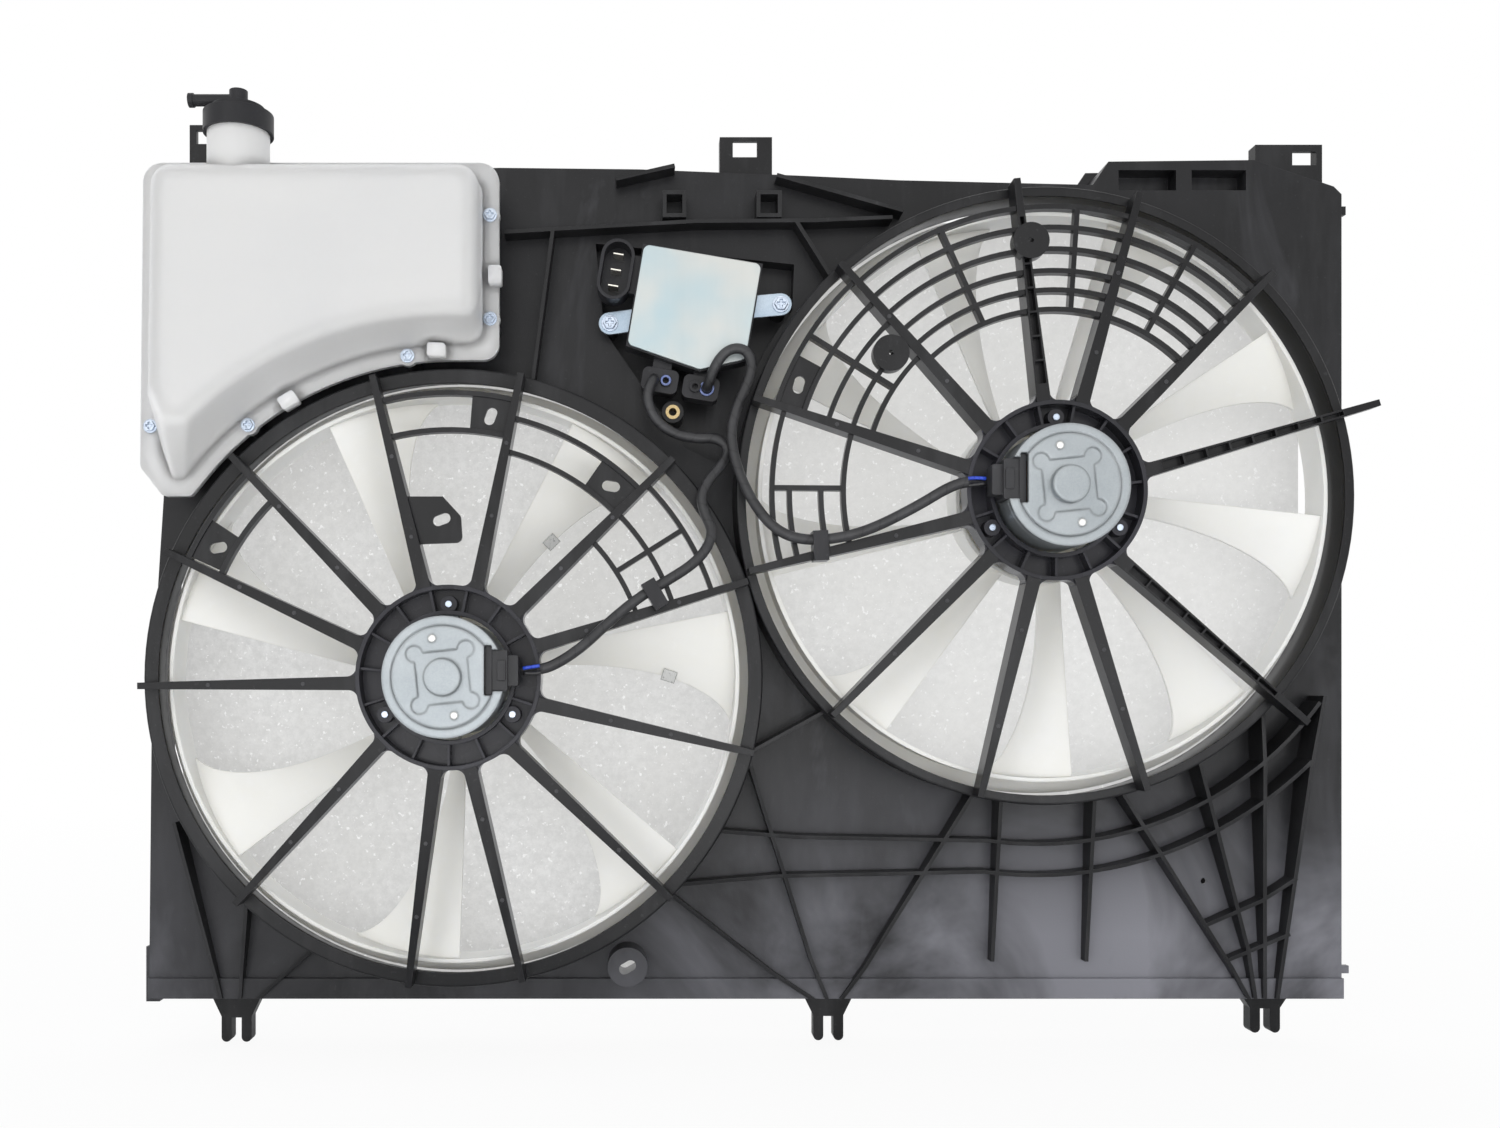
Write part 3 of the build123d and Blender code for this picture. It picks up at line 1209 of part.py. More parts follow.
PORT_SPACING = 7.4
COLLAR_RADIUS = 3.6
COLLAR_RISE = 2


def lead_plug(route, side):
    """The moulded end of a lead: the port that the lead leaves by, and an open port beside it."""
    x, y, height = route[0]
    frame = Pos(x, y) * Rot(0, 0, CONTROLLER_TURN)
    middle = frame * Pos(side * PORT_SPACING / 2, 0)
    body = plate(middle * RectangleRounded(23, 15, 4), height - 13, height)
    open_port = frame * Pos(side * PORT_SPACING, 0)
    body += plate(open_port * Circle(COLLAR_RADIUS), height - 1, height + COLLAR_RISE)
    body -= plate(open_port * Circle(COLLAR_RADIUS / 2), height - 3, height + COLLAR_RISE + 1)
    body += plate(middle * Pos(0, 9) * Rectangle(12, 14), height - 9, height - 2)
    outline = controller_frame() * offset(controller_outline(), 1, kind=Kind.INTERSECTION)
    return body - plate(outline, 0, BARREL_TOP)


def brass_insert():
    return ring(INSERT_RADIUS, INSERT_HOLE, CONTROLLER_LOW - INSERT_LENGTH, CONTROLLER_LOW, INSERT_PLACE)


# Balance clips as the blade's number and the clip's radius
BALANCE_CLIPS = [(4, 105), (3, 134)]
CLIP_WALL = 0.8
CLIP_GAP = 0.3


def balance_clips():
    """Two spring clips bent round the hooked front edges of two blades of the left fan."""
    half_slot = BLADE_WALL / 2 + CLIP_GAP
    low_corner = (Align.CENTER, Align.MIN, Align.CENTER)
    outside = Pos(0, -half_slot - CLIP_WALL) * Box(9, 8, 2 * (half_slot + CLIP_WALL), align=low_corner)
    pattern = outside - Pos(0, -half_slot) * Box(10, 9, 2 * half_slot, align=low_corner)
    clips = []
    for number, radius in BALANCE_CLIPS:
        edge = hook_point(LEFT_BLADES, radius)
        along = hook_point(LEFT_BLADES, radius + 1) - edge
        inward = hook_point(LEFT_BLADES, radius, 1) - edge
        seat = Plane(origin=edge, x_dir=along, z_dir=along.cross(inward))
        turn = Rot(0, 0, number * 360 / LEFT_BLADES[0])
        clips.append(Pos(*LEFT_AXIS) * turn * (seat * pattern))
    return all_of(clips)


def build():
    left_struts = left_spokes()
    right_struts = right_spokes()
    left_points = LEFT_ROUTE + [connector_exit(LEFT_AXIS, 1)]
    right_points = RIGHT_ROUTE + [connector_exit(RIGHT_AXIS, -1)]
    left_guard = guard_bars(LEFT_AXIS, LEFT_RING_RADIUS, LEFT_GUARD_ARCS, LEFT_GUARD_BARS, left_struts)
    right_guard = guard_bars(RIGHT_AXIS, RIGHT_RING_RADIUS, RIGHT_GUARD_ARCS, RIGHT_GUARD_BARS, right_struts)
    nodes = {
        "shroud_panel": shroud_panel(),
        "shroud_skirt": shroud_skirt(),
        "left_fan_barrel": fan_barrel(LEFT_AXIS, LEFT_LIP_RADIUS),
        "right_fan_barrel": fan_barrel(RIGHT_AXIS, RIGHT_LIP_RADIUS),
        "left_motor_ring": motor_ring(LEFT_AXIS, LEFT_RING_RADIUS, LEFT_SPOKES, left_struts),
        "right_motor_ring": motor_ring(RIGHT_AXIS, RIGHT_RING_RADIUS, RIGHT_SPOKES + RIGHT_CHANNELS,
                                       right_struts),
        "left_spokes": all_of(left_struts),
        "right_spokes": all_of(right_struts),
        "left_guard_bars": left_guard,
        "right_guard_bars": right_guard,
        "harness_tabs": harness_tabs(left_struts, right_struts, left_guard, right_guard),
        "lower_ribs": lower_ribs(),
        "upper_ribs": upper_ribs(),
        "top_tabs": top_tabs(),
        "forked_feet": forked_feet(),
        "reservoir_front": reservoir_front(),
        "reservoir_back": reservoir_back(),
        "reservoir_screws": reservoir_screws(),
        "reservoir_cap": reservoir_cap(),
        "cap_seal": cap_seal(),
        "dip_tube": dip_tube(),
        "controller_housing": controller_housing(),
        "controller_cover": controller_cover(),
        "controller_bracket": controller_bracket(),
        "controller_board": controller_board(),
        "controller_screws": controller_screws(),
        "supply_blades": supply_blades(),
        "brass_insert": brass_insert(),
        "left_lead_plug": lead_plug(LEFT_ROUTE, 1),
        "right_lead_plug": lead_plug(RIGHT_ROUTE, -1),
        "left_motor_lead": lead(left_points),
        "right_motor_lead": lead(right_points),
        "lead_clips": all_of([
            lead_clip(LEFT_ROUTE[15], LEFT_ROUTE[16], left_struts + [left_guard]),
            lead_clip(RIGHT_ROUTE[12], RIGHT_ROUTE[13], right_struts + [right_guard]),
        ]),
        "left_fan": fan(LEFT_AXIS, LEFT_BLADES),
        "right_fan": fan(RIGHT_AXIS, RIGHT_BLADES),
        "fan_balance_clips": balance_clips(),
    }
    for name, axis, side in (("left", LEFT_AXIS, 1), ("right", RIGHT_AXIS, -1)):
        nodes[name + "_fan_nut"] = fan_nut(axis)
        nodes[name + "_motor_can"] = motor_can(axis, side)
        nodes[name + "_motor_end_bell"] = motor_end_bell(axis, side)
        nodes[name + "_motor_bushes"] = bushes(axis)
        nodes[name + "_motor_shaft"] = motor_shaft(axis)
        nodes[name + "_armature"] = armature(axis)
        nodes[name + "_commutator"] = commutator(axis)
        nodes[name + "_magnets"] = magnets(axis)
        nodes[name + "_brush_plate"] = brush_plate(axis, side)
        nodes[name + "_brushes"] = brushes(axis)
        nodes[name + "_motor_connector"] = motor_connector(axis, side)
        nodes[name + "_motor_screws"] = motor_screws(axis)
    return nodes


os.makedirs("parts", exist_ok=True)
for node, shape in build().items():
    export_step(Rot(90, 0, 0) * shape, "parts/" + node + ".step")
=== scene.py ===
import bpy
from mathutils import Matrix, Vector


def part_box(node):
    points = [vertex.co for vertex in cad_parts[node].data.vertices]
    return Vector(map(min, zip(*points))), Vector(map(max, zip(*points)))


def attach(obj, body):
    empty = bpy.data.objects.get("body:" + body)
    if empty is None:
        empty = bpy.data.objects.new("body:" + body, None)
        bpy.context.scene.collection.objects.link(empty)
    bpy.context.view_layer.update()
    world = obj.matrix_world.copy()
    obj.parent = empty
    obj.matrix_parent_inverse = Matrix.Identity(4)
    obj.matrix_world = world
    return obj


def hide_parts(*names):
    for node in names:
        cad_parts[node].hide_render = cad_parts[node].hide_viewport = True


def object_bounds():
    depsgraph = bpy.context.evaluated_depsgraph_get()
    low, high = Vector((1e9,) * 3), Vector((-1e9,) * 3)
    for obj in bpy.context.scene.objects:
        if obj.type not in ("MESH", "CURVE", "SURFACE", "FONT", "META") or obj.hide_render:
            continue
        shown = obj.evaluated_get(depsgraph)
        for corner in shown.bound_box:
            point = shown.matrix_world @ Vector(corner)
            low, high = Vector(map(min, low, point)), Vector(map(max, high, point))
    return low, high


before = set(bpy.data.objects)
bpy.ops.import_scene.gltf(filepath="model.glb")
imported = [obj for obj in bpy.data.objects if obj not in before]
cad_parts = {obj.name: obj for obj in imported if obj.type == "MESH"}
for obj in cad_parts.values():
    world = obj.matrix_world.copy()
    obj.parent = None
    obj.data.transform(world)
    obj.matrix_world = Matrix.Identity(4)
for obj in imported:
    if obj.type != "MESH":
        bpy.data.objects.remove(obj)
cad_box = [list(corner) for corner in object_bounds()]

import bmesh
import bpy
from math import cos, pi, radians, sin
from mathutils import Vector

scene = bpy.context.scene
scene.view_settings.view_transform = "Standard"


# Camera
# The photograph looks square at the engine side from under a metre away, so the camera has no tilt,
# and a small lens shift puts the assembly in the middle of the picture.

lens = bpy.data.cameras.new("camera")
lens.sensor_width = 36
lens.lens = 32.9
lens.shift_x = 0.0767
lens.shift_y = 0.084
lens.clip_start = 0.05
camera = bpy.data.objects.new("camera", lens)
camera.location = (-0.071, -0.920, 0.198)
camera.rotation_euler = (radians(90), 0, 0)
scene.collection.objects.link(camera)
scene.camera = camera


# Shroud moulding
# Black polypropylene, injection moulded in one shot with its barrels, spokes and ribs. It has a fine
# grain, dust and release marks, and its edges are worn a little pale by handling. A painted sheen
# lies on the panel's lower right, and slanting streaks of it cross the panel.

class Finish:
    """A material under construction, whose patterns read Object coordinates by default."""

    def __init__(self, name):
        self.material = bpy.data.materials.new(name)
        self.material.use_nodes = True
        self.tree = self.material.node_tree
        self.shader = self.tree.nodes["Principled BSDF"]
        self.place = self.add("ShaderNodeTexCoord").outputs["Object"]
        self.bumps = None

    def add(self, kind, **values):
        node = self.tree.nodes.new(kind)
        for name, value in values.items():
            if name in ("operation", "data_type", "samples"):
                setattr(node, name, value)
            else:
                self.set(node.inputs[name.replace("_", " ")], value)
        return node

    def set(self, socket, value):
        if isinstance(value, bpy.types.NodeSocket):
            self.tree.links.new(value, socket)
        else:
            socket.default_value = value

    def stretched(self, scale=(1, 1, 1), turn=(0, 0, 0)):
        node = self.add("ShaderNodeMapping", Vector=self.place)
        node.inputs["Scale"].default_value = scale
        node.inputs["Rotation"].default_value = turn
        return node.outputs[0]

    def noise(self, scale, detail=3, rough=0.5, place=None, warp=0):
        node = self.add("ShaderNodeTexNoise", Vector=place or self.place, Scale=scale, Detail=detail,
                        Roughness=rough, Distortion=warp)
        return node.outputs["Fac"]

    def ramp(self, value, low, high, start=0, end=1):
        """The value stretched so that low gives start and high gives end, and no further."""
        node = self.add("ShaderNodeMapRange")
        self.set(node.inputs["Value"], value)
        for name, number in (("From Min", low), ("From Max", high), ("To Min", start), ("To Max", end)):
            node.inputs[name].default_value = number
        return node.outputs[0]

    def maths(self, operation, first, second=0.0):
        node = self.add("ShaderNodeMath", operation=operation)
        self.set(node.inputs[0], first)
        self.set(node.inputs[1], second)
        return node.outputs[0]

    def mix(self, share, first, second):
        node = self.add("ShaderNodeMix", data_type="RGBA")
        self.set(node.inputs[0], share)
        self.set(node.inputs[6], first)
        self.set(node.inputs[7], second)
        return node.outputs[2]

    def bump(self, height, distance, strength=1.0):
        node = self.add("ShaderNodeBump", Height=height, Distance=distance, Strength=strength)
        if self.bumps is not None:
            self.set(node.inputs["Normal"], self.bumps)
        self.bumps = node.outputs[0]

    def rounded(self, radius):
        """Edges that catch the light as if they had a small radius; gives a mask of the edges."""
        node = self.add("ShaderNodeBevel", samples=4, Radius=radius)
        flat = self.add("ShaderNodeNewGeometry").outputs["Normal"]
        dot = self.add("ShaderNodeVectorMath", operation="DOT_PRODUCT")
        self.set(dot.inputs[0], node.outputs[0])
        self.set(dot.inputs[1], flat)
        self.bumps = node.outputs[0]
        return self.ramp(dot.outputs["Value"], 0.995, 0.85)

    def done(self, colour=None, rough=None, **fixed):
        if colour is not None:
            self.set(self.shader.inputs["Base Color"], colour)
        if rough is not None:
            self.set(self.shader.inputs["Roughness"], rough)
        if self.bumps is not None:
            self.set(self.shader.inputs["Normal"], self.bumps)
        for name, value in fixed.items():
            self.shader.inputs[name.replace("_", " ")].default_value = value
        return self.material


def dress(material, *names):
    """Gives CAD nodes their finished material."""
    for name in names:
        for part_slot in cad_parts[name].material_slots:
            part_slot.material = material


moulded_edge = 0.0007
# Shares of dust in the shade: in streaks, in specks and on rubbed edges
streak_share = 0.22
speck_share = 0.14
rub_share = 0.45
# A painted sheen on the panel grows downwards and to the right between these places, in metres.
# Slanting streaks of painted sheen, at this slant in degrees, cross it.
sheen_top = 0.16
sheen_bottom = 0.04
sheen_left = -0.2
sheen_right = 0.26
sheen_least = 0.12
sheen_streak_slant = 35
sheen_streak_share = 0.16


def moulded_black(name, deep, pale, dust, grain_size, shine, painted_sheen=None):
    """Black moulded plastic with cloudy dust, a fine grain, rubbed edges and, if given, a painted sheen."""
    skin = Finish(name)
    edges = skin.rounded(moulded_edge)
    cloud = skin.ramp(skin.noise(7, 5, 0.6), 0.42, 0.68)
    streak = skin.ramp(skin.noise(26, 4, 0.65, skin.stretched((1, 1, 0.22))), 0.5, 0.75)
    specks = skin.ramp(skin.noise(420, 2), 0.66, 0.74)
    shade = skin.mix(cloud, deep, pale)
    shade = skin.mix(skin.maths("MULTIPLY", streak, streak_share), shade, dust)
    shade = skin.mix(skin.maths("MULTIPLY", specks, speck_share), shade, dust)
    rub = skin.maths("MULTIPLY", edges, skin.ramp(skin.noise(55, 3), 0.3, 0.7))
    shade = skin.mix(skin.maths("MULTIPLY", rub, rub_share), shade, dust)
    # The given colour is painted as sheen, low on the panel's right and in slanting streaks
    if painted_sheen:
        axes = skin.add("ShaderNodeSeparateXYZ", Vector=skin.place).outputs
        downwards = skin.ramp(axes["Z"], sheen_top, sheen_bottom)
        rightwards = skin.ramp(axes["X"], sheen_left, sheen_right, sheen_least, 1)
        cloudy = skin.ramp(skin.noise(6.5, 5, 0.6, None, 0.6), 0.38, 0.62, sheen_least, 1)
        share = skin.maths("MULTIPLY", skin.maths("MULTIPLY", downwards, rightwards), cloudy)
        shade = skin.mix(share, shade, painted_sheen)
        smear = skin.noise(11, 5, 0.65, skin.stretched((1, 1, 0.4), (0, radians(sheen_streak_slant), 0)), 0.8)
        shade = skin.mix(skin.ramp(smear, 0.56, 0.7, 0, sheen_streak_share), shade, painted_sheen)
    gloss = skin.ramp(cloud, 0, 1, shine - 0.06, shine + 0.1)
    gloss = skin.maths("ADD", gloss, skin.maths("MULTIPLY", streak, 0.08))
    skin.bump(skin.noise(1.0 / grain_size, 2), grain_size * 0.12, 0.5)
    skin.bump(skin.noise(60, 2), 0.0003, 0.25)
    return skin.done(shade, gloss, Specular_IOR_Level=0.26)


# The last colour is the painted sheen on the panel's lower right and in slanting streaks
shroud_black = moulded_black("shroud_black", (0.008, 0.008, 0.009, 1), (0.018, 0.018, 0.020, 1),
                             (0.09, 0.09, 0.095, 1), 0.0009, 0.38, (0.21, 0.21, 0.235, 1))
dress(shroud_black, "shroud_panel", "shroud_skirt")
rib_black = moulded_black("rib_black", (0.006, 0.006, 0.007, 1), (0.014, 0.014, 0.015, 1),
                          (0.10, 0.10, 0.105, 1), 0.0009, 0.34)
dress(rib_black, "left_fan_barrel", "right_fan_barrel", "left_spokes", "right_spokes", "left_guard_bars",
      "right_guard_bars", "harness_tabs", "lower_ribs", "upper_ribs", "top_tabs", "forked_feet")
ring_black = moulded_black("motor_ring_black", (0.014, 0.014, 0.018, 1), (0.034, 0.033, 0.042, 1),
                           (0.12, 0.12, 0.14, 1), 0.0007, 0.29)
dress(ring_black, "left_motor_ring", "right_motor_ring")


# Release marks
# Round marks a couple of millimetres across where the mould's ejector pins pushed each spoke out. They
# stand a hair proud of the spoke and have rubbed paler than the plastic round them.

class Pattern:
    """A Geometry Nodes tree under construction, which ends in real faces with one finish."""

    def __init__(self, name, sizes):
        self.tree = bpy.data.node_groups.new(name, "GeometryNodeTree")
        sockets = self.tree.interface
        sockets.new_socket("Places", in_out="INPUT", socket_type="NodeSocketGeometry")
        for label in sizes:
            sockets.new_socket(label, in_out="INPUT", socket_type="NodeSocketFloat")
        sockets.new_socket("Finish", in_out="INPUT", socket_type="NodeSocketMaterial")
        sockets.new_socket("Piece", in_out="OUTPUT", socket_type="NodeSocketGeometry")
        self.given = self.tree.nodes.new("NodeGroupInput").outputs

    def add(self, kind, settings=None, **values):
        node = self.tree.nodes.new(kind)
        for name, value in (settings or {}).items():
            setattr(node, name, value)
        for name, value in values.items():
            self.set(node.inputs[name.replace("_", " ")], value)
        return node

    def set(self, socket, value):
        if isinstance(value, bpy.types.NodeSocket):
            self.tree.links.new(value, socket)
        else:
            socket.default_value = value

    def maths(self, operation, first, second=0.0):
        node = self.add("ShaderNodeMath", {"operation": operation})
        self.set(node.inputs[0], first)
        self.set(node.inputs[1], second)
        return node.outputs[0]

    def height(self, value):
        return self.add("ShaderNodeCombineXYZ", Z=value).outputs[0]

    def drum(self, radius, depth, middle, sides=24):
        """A round or many-sided drum about the pattern's own axis."""
        shape = self.add("GeometryNodeMeshCylinder", Vertices=sides, Radius=radius, Depth=depth)
        moved = self.add("GeometryNodeTransform", Geometry=shape.outputs["Mesh"],
                         Translation=self.height(middle))
        return moved.outputs[0]

    def join(self, *shapes):
        node = self.add("GeometryNodeJoinGeometry")
        for shape in shapes:
            self.tree.links.new(shape, node.inputs[0])
        return node.outputs[0]

    def finish(self, shape):
        """Sets the shape on every place, with its axis towards the engine."""
        copies = self.add("GeometryNodeInstanceOnPoints", Points=self.given["Places"], Instance=shape,
                          Rotation=(radians(90), 0, 0))
        real = self.add("GeometryNodeRealizeInstances", Geometry=copies.outputs[0])
        done = self.add("GeometryNodeSetMaterial", Geometry=real.outputs[0], Material=self.given["Finish"])
        end = self.tree.nodes.new("NodeGroupOutput")
        self.tree.links.new(done.outputs[0], end.inputs[0])
        return self.tree


def grown(name, places, pattern, finish, slot, body="shroud", **sizes):
    """The pattern's shape at every place, turned into one plain mesh that rides on a body."""
    seeds = bpy.data.meshes.new(name)
    seeds.from_pydata([tuple(place) for place in places], [], [])
    thing = bpy.data.objects.new(name, seeds)
    scene.collection.objects.link(thing)
    modifier = thing.modifiers.new(name, "NODES")
    modifier.node_group = pattern
    sizes["Finish"] = finish
    for socket in pattern.interface.items_tree:
        if socket.in_out == "INPUT" and socket.name.replace(" ", "_") in sizes:
            modifier[socket.identifier] = sizes[socket.name.replace(" ", "_")]
    ready = thing.evaluated_get(bpy.context.evaluated_depsgraph_get())
    plain = bpy.data.meshes.new_from_object(ready)
    thing.modifiers.remove(modifier)
    thing.data = plain
    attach(thing, body)
    return thing


def on_surface(node, x, z):
    """The point of a CAD node that faces the engine at that place, or None where it is open."""
    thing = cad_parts[node]
    inverse = thing.matrix_world.inverted()
    start = inverse @ Vector((x, -1, z))
    hit, place = thing.ray_cast(start, inverse.to_3x3() @ Vector((0, 1, 0)))[:2]
    return thing.matrix_world @ place if hit else None


def round_place(axis, radius, angle):
    return axis[0] + radius * cos(radians(angle)), axis[1] + radius * sin(radians(angle))


def fan_axis(node):
    low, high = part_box(node)
    return (low[0] + high[0]) / 2, (low[2] + high[2]) / 2


mark_radius = 0.00125
mark_rise = 0.00035
marks = Pattern("release_mark", ["Radius", "Rise"])
raised = marks.drum(marks.given["Radius"], marks.maths("MULTIPLY", marks.given["Rise"], 2.0), 0.0, 20)
release_mark = marks.finish(raised)
left_axis = fan_axis("left_fan")
right_axis = fan_axis("right_fan")
left_ring_radius = 0.056
right_ring_radius = 0.0545
rim_radius = 0.1895
# Each spoke's angle at the rim and at the ring, in degrees
left_spokes = ((104.5, 105.2), (134.7, 136.3), (156.1, 159.4), (181.5, 183.6), (226.4, 224.2), (262.2, 262.0),
               (283.3, 283.6), (314.9, 311.6), (346.0, 343.6), (18.0, 19.6), (44.6, 43.7), (77.0, 71.9))
right_spokes = ((73.7, 74.0), (44.8, 44.6), (-72.2, -74.9), (256.8, 255.2), (225.5, 225.0), (194.5, 197.6),
                (162.3, 165.7), (132.6, 138.1))
# Two marks a spoke, at these shares of the way out from the ring, with steps from spoke to spoke
near_share = 0.24
near_step = 0.05
far_share = 0.62
far_step = 0.06
mark_places = []
for node, axis, ring_radius, angles in (("left_spokes", left_axis, left_ring_radius, left_spokes),
                                        ("right_spokes", right_axis, right_ring_radius, right_spokes)):
    for number, (rim_angle, hub_angle) in enumerate(angles):
        hub = Vector(round_place(axis, ring_radius, hub_angle))
        rim = Vector(round_place(axis, rim_radius, rim_angle))
        for share in (near_share + near_step * (number % 3), far_share + far_step * (number % 2)):
            spot = on_surface(node, *hub.lerp(rim, share))
            if spot:
                mark_places.append(spot)
rubbed_black = moulded_black("rubbed_black", (0.035, 0.035, 0.038, 1), (0.06, 0.06, 0.065, 1),
                             (0.16, 0.16, 0.17, 1), 0.0006, 0.34)
grown("release_marks", mark_places, release_mark, rubbed_black, "shroud_plastic",
      Radius=mark_radius, Rise=mark_rise)


# Fans
# Each wheel is one moulding of natural, unpigmented nylon: milky and slightly see-through, with
# cloudy flow marks, fine pale flecks and a faint yellow cast in places.

nylon = Finish("natural_nylon")
nylon.rounded(0.0008)
flow = nylon.noise(9, 4, 0.55, warp=0.6)
yellow = nylon.ramp(flow, 0.35, 0.7)
shade = nylon.mix(yellow, (0.89, 0.88, 0.84, 1), (0.84, 0.825, 0.765, 1))
fleck = nylon.ramp(nylon.noise(160, 3, 0.6), 0.6, 0.8)
fleck_share = 0.2
shade = nylon.mix(nylon.maths("MULTIPLY", fleck, fleck_share), shade, (0.97, 0.97, 0.96, 1))
nylon.bump(nylon.noise(35, 3, 0.5), 0.0004, 0.3)
natural_nylon = nylon.done(shade, nylon.ramp(flow, 0.3, 0.7, 0.34, 0.5), Subsurface_Weight=0.3,
                           Subsurface_Radius=(0.012, 0.011, 0.009), Subsurface_Scale=1.0,
                           Transmission_Weight=0.04)
dress(natural_nylon, "left_fan", "right_fan")

# The two balance clips on the left fan's blades are bright spring steel, drawn dark along their edges
bright_spring = Finish("bright_spring_steel")
edges = bright_spring.rounded(0.0012)
rubbed = bright_spring.noise(900, 3, 0.6, bright_spring.stretched((1, 1, 0.2)))
bright_spring.bump(rubbed, 0.00004, 0.3)
shade = bright_spring.mix(rubbed, (0.70, 0.70, 0.68, 1), (0.95, 0.95, 0.93, 1))
edge_share = 0.85
shade = bright_spring.mix(bright_spring.maths("MULTIPLY", edges, edge_share), shade, (0.10, 0.10, 0.10, 1))
spring_steel = bright_spring.done(shade, bright_spring.ramp(rubbed, 0.3, 0.7, 0.25, 0.4), Metallic=0.4)
dress(spring_steel, "fan_balance_clips")


# Motors
# Drawn steel cans with pressed end bells, both zinc plated: a dull, cloudy blue grey with fine
# crystals and a few brushed marks. Three screws hold each motor to its ring.

crystal_share = 0.12
cloud_share = 0.9
rub_mark_share = 0.2
bright_edge_share = 0.25


def plated(name, dark, light, shine, crystal, metal=0.92, edge_radius=0.0008):
    """Zinc plate: small crystals, soft clouds and long rub marks over metal."""
    skin = Finish(name)
    edges = skin.rounded(edge_radius)
    cloud = skin.noise(28, 4, 0.55)
    cell = skin.add("ShaderNodeTexVoronoi", Vector=skin.place, Scale=crystal)
    grey = skin.add("ShaderNodeSeparateColor", Color=cell.outputs["Color"]).outputs[0]
    share = skin.maths("ADD", skin.maths("MULTIPLY", grey, crystal_share),
                       skin.maths("MULTIPLY", cloud, cloud_share))
    shade = skin.mix(skin.ramp(share, 0.3, 0.7), dark, light)
    rub = skin.ramp(skin.noise(500, 2, 0.5, skin.stretched((1, 1, 0.08))), 0.55, 0.75)
    shade = skin.mix(skin.maths("MULTIPLY", rub, rub_mark_share), shade, light)
    shade = skin.mix(skin.maths("MULTIPLY", edges, bright_edge_share), shade, (0.78, 0.80, 0.81, 1))
    gloss = skin.ramp(share, 0.2, 0.9, shine, shine + 0.16)
    skin.bump(rub, 0.00004, 0.3)
    skin.bump(skin.noise(90, 3), 0.0002, 0.15)
    return skin.done(shade, gloss, Metallic=metal)


zinc_plate = plated("zinc_plated_steel", (0.25, 0.275, 0.29, 1), (0.35, 0.375, 0.39, 1), 0.32, 1400,
                    metal=0.8, edge_radius=0.0024)
dress(zinc_plate, "left_motor_can", "right_motor_can", "left_motor_end_bell", "right_motor_end_bell")
screw_plate = plated("zinc_plated_screws", (0.32, 0.38, 0.48, 1), (0.62, 0.69, 0.79, 1), 0.22, 2600)
dress(screw_plate, "left_motor_screws", "right_motor_screws", "left_fan_nut", "right_fan_nut")

# Two burnished rivet crowns show on each end bell
rivet_circle = 0.0235
rivet_face = -0.1188
rivet_angles = (105, 287)
rivet_radius = 0.0024
rivet_rise = 0.0005
rivet = Pattern("rivet_crown", ["Radius", "Rise"])
ball = rivet.add("GeometryNodeMeshUVSphere", Segments=24, Rings=12, Radius=rivet.given["Radius"])
flatter = rivet.add("ShaderNodeCombineXYZ", X=1.0, Y=1.0,
                    Z=rivet.maths("DIVIDE", rivet.given["Rise"], rivet.given["Radius"]))
domed = rivet.add("GeometryNodeTransform", Geometry=ball.outputs[0], Scale=flatter.outputs[0])
rivet_crown = rivet.finish(domed.outputs[0])
rivet_places = []
for axis in (left_axis, right_axis):
    for angle in rivet_angles:
        across, up = round_place(axis, rivet_circle, angle)
        rivet_places.append((across, rivet_face, up))
grown("bell_rivet_crowns", rivet_places, rivet_crown, spring_steel, "motor_steel",
      Radius=rivet_radius, Rise=rivet_rise)

ground_steel = plated("ground_shaft_steel", (0.45, 0.45, 0.45, 1), (0.62, 0.62, 0.61, 1), 0.2, 3000)
dress(ground_steel, "left_motor_shaft", "right_motor_shaft")


def inner(name, dark, light, scale, shine, metal):
    """The finish of a piece inside the motor or the controller: grain in two tones."""
    skin = Finish(name)
    grain = skin.noise(scale, 4, 0.6)
    skin.bump(grain, 0.0003, 0.4)
    return skin.done(skin.mix(skin.ramp(grain, 0.35, 0.65), dark, light),
                     skin.ramp(grain, 0.3, 0.7, shine, shine + 0.2), Metallic=metal)


dress(inner("armature_stack", (0.2, 0.12, 0.07, 1), (0.42, 0.24, 0.12, 1), 300, 0.4, 0.6),
      "left_armature", "right_armature")
dress(inner("commutator_copper", (0.55, 0.28, 0.16, 1), (0.75, 0.42, 0.26, 1), 400, 0.25, 1.0),
      "left_commutator", "right_commutator")
dress(inner("sintered_ferrite", (0.06, 0.06, 0.065, 1), (0.12, 0.12, 0.12, 1), 700, 0.6, 0.0),
      "left_magnets", "right_magnets")
dress(inner("sintered_bronze", (0.4, 0.26, 0.12, 1), (0.58, 0.42, 0.22, 1), 900, 0.45, 1.0),
      "left_motor_bushes", "right_motor_bushes")
dress(inner("brown_laminate", (0.16, 0.07, 0.03, 1), (0.26, 0.13, 0.06, 1), 200, 0.45, 0.0),
      "left_brush_plate", "right_brush_plate")
dress(inner("brush_carbon", (0.02, 0.02, 0.02, 1), (0.06, 0.06, 0.06, 1), 1200, 0.5, 0.2),
      "left_brushes", "right_brushes")

connector_grey = moulded_black("connector_grey", (0.024, 0.024, 0.026, 1), (0.042, 0.042, 0.046, 1),
                               (0.12, 0.12, 0.13, 1), 0.0005, 0.36)
dress(connector_grey, "left_motor_connector", "right_motor_connector")


# Controller
# A shallow black housing under a bright aluminium cover plate, on a bracket with two ears. The
# plate is bare rolled sheet, clean but for faint rolling lines and a soft bluish cloud.

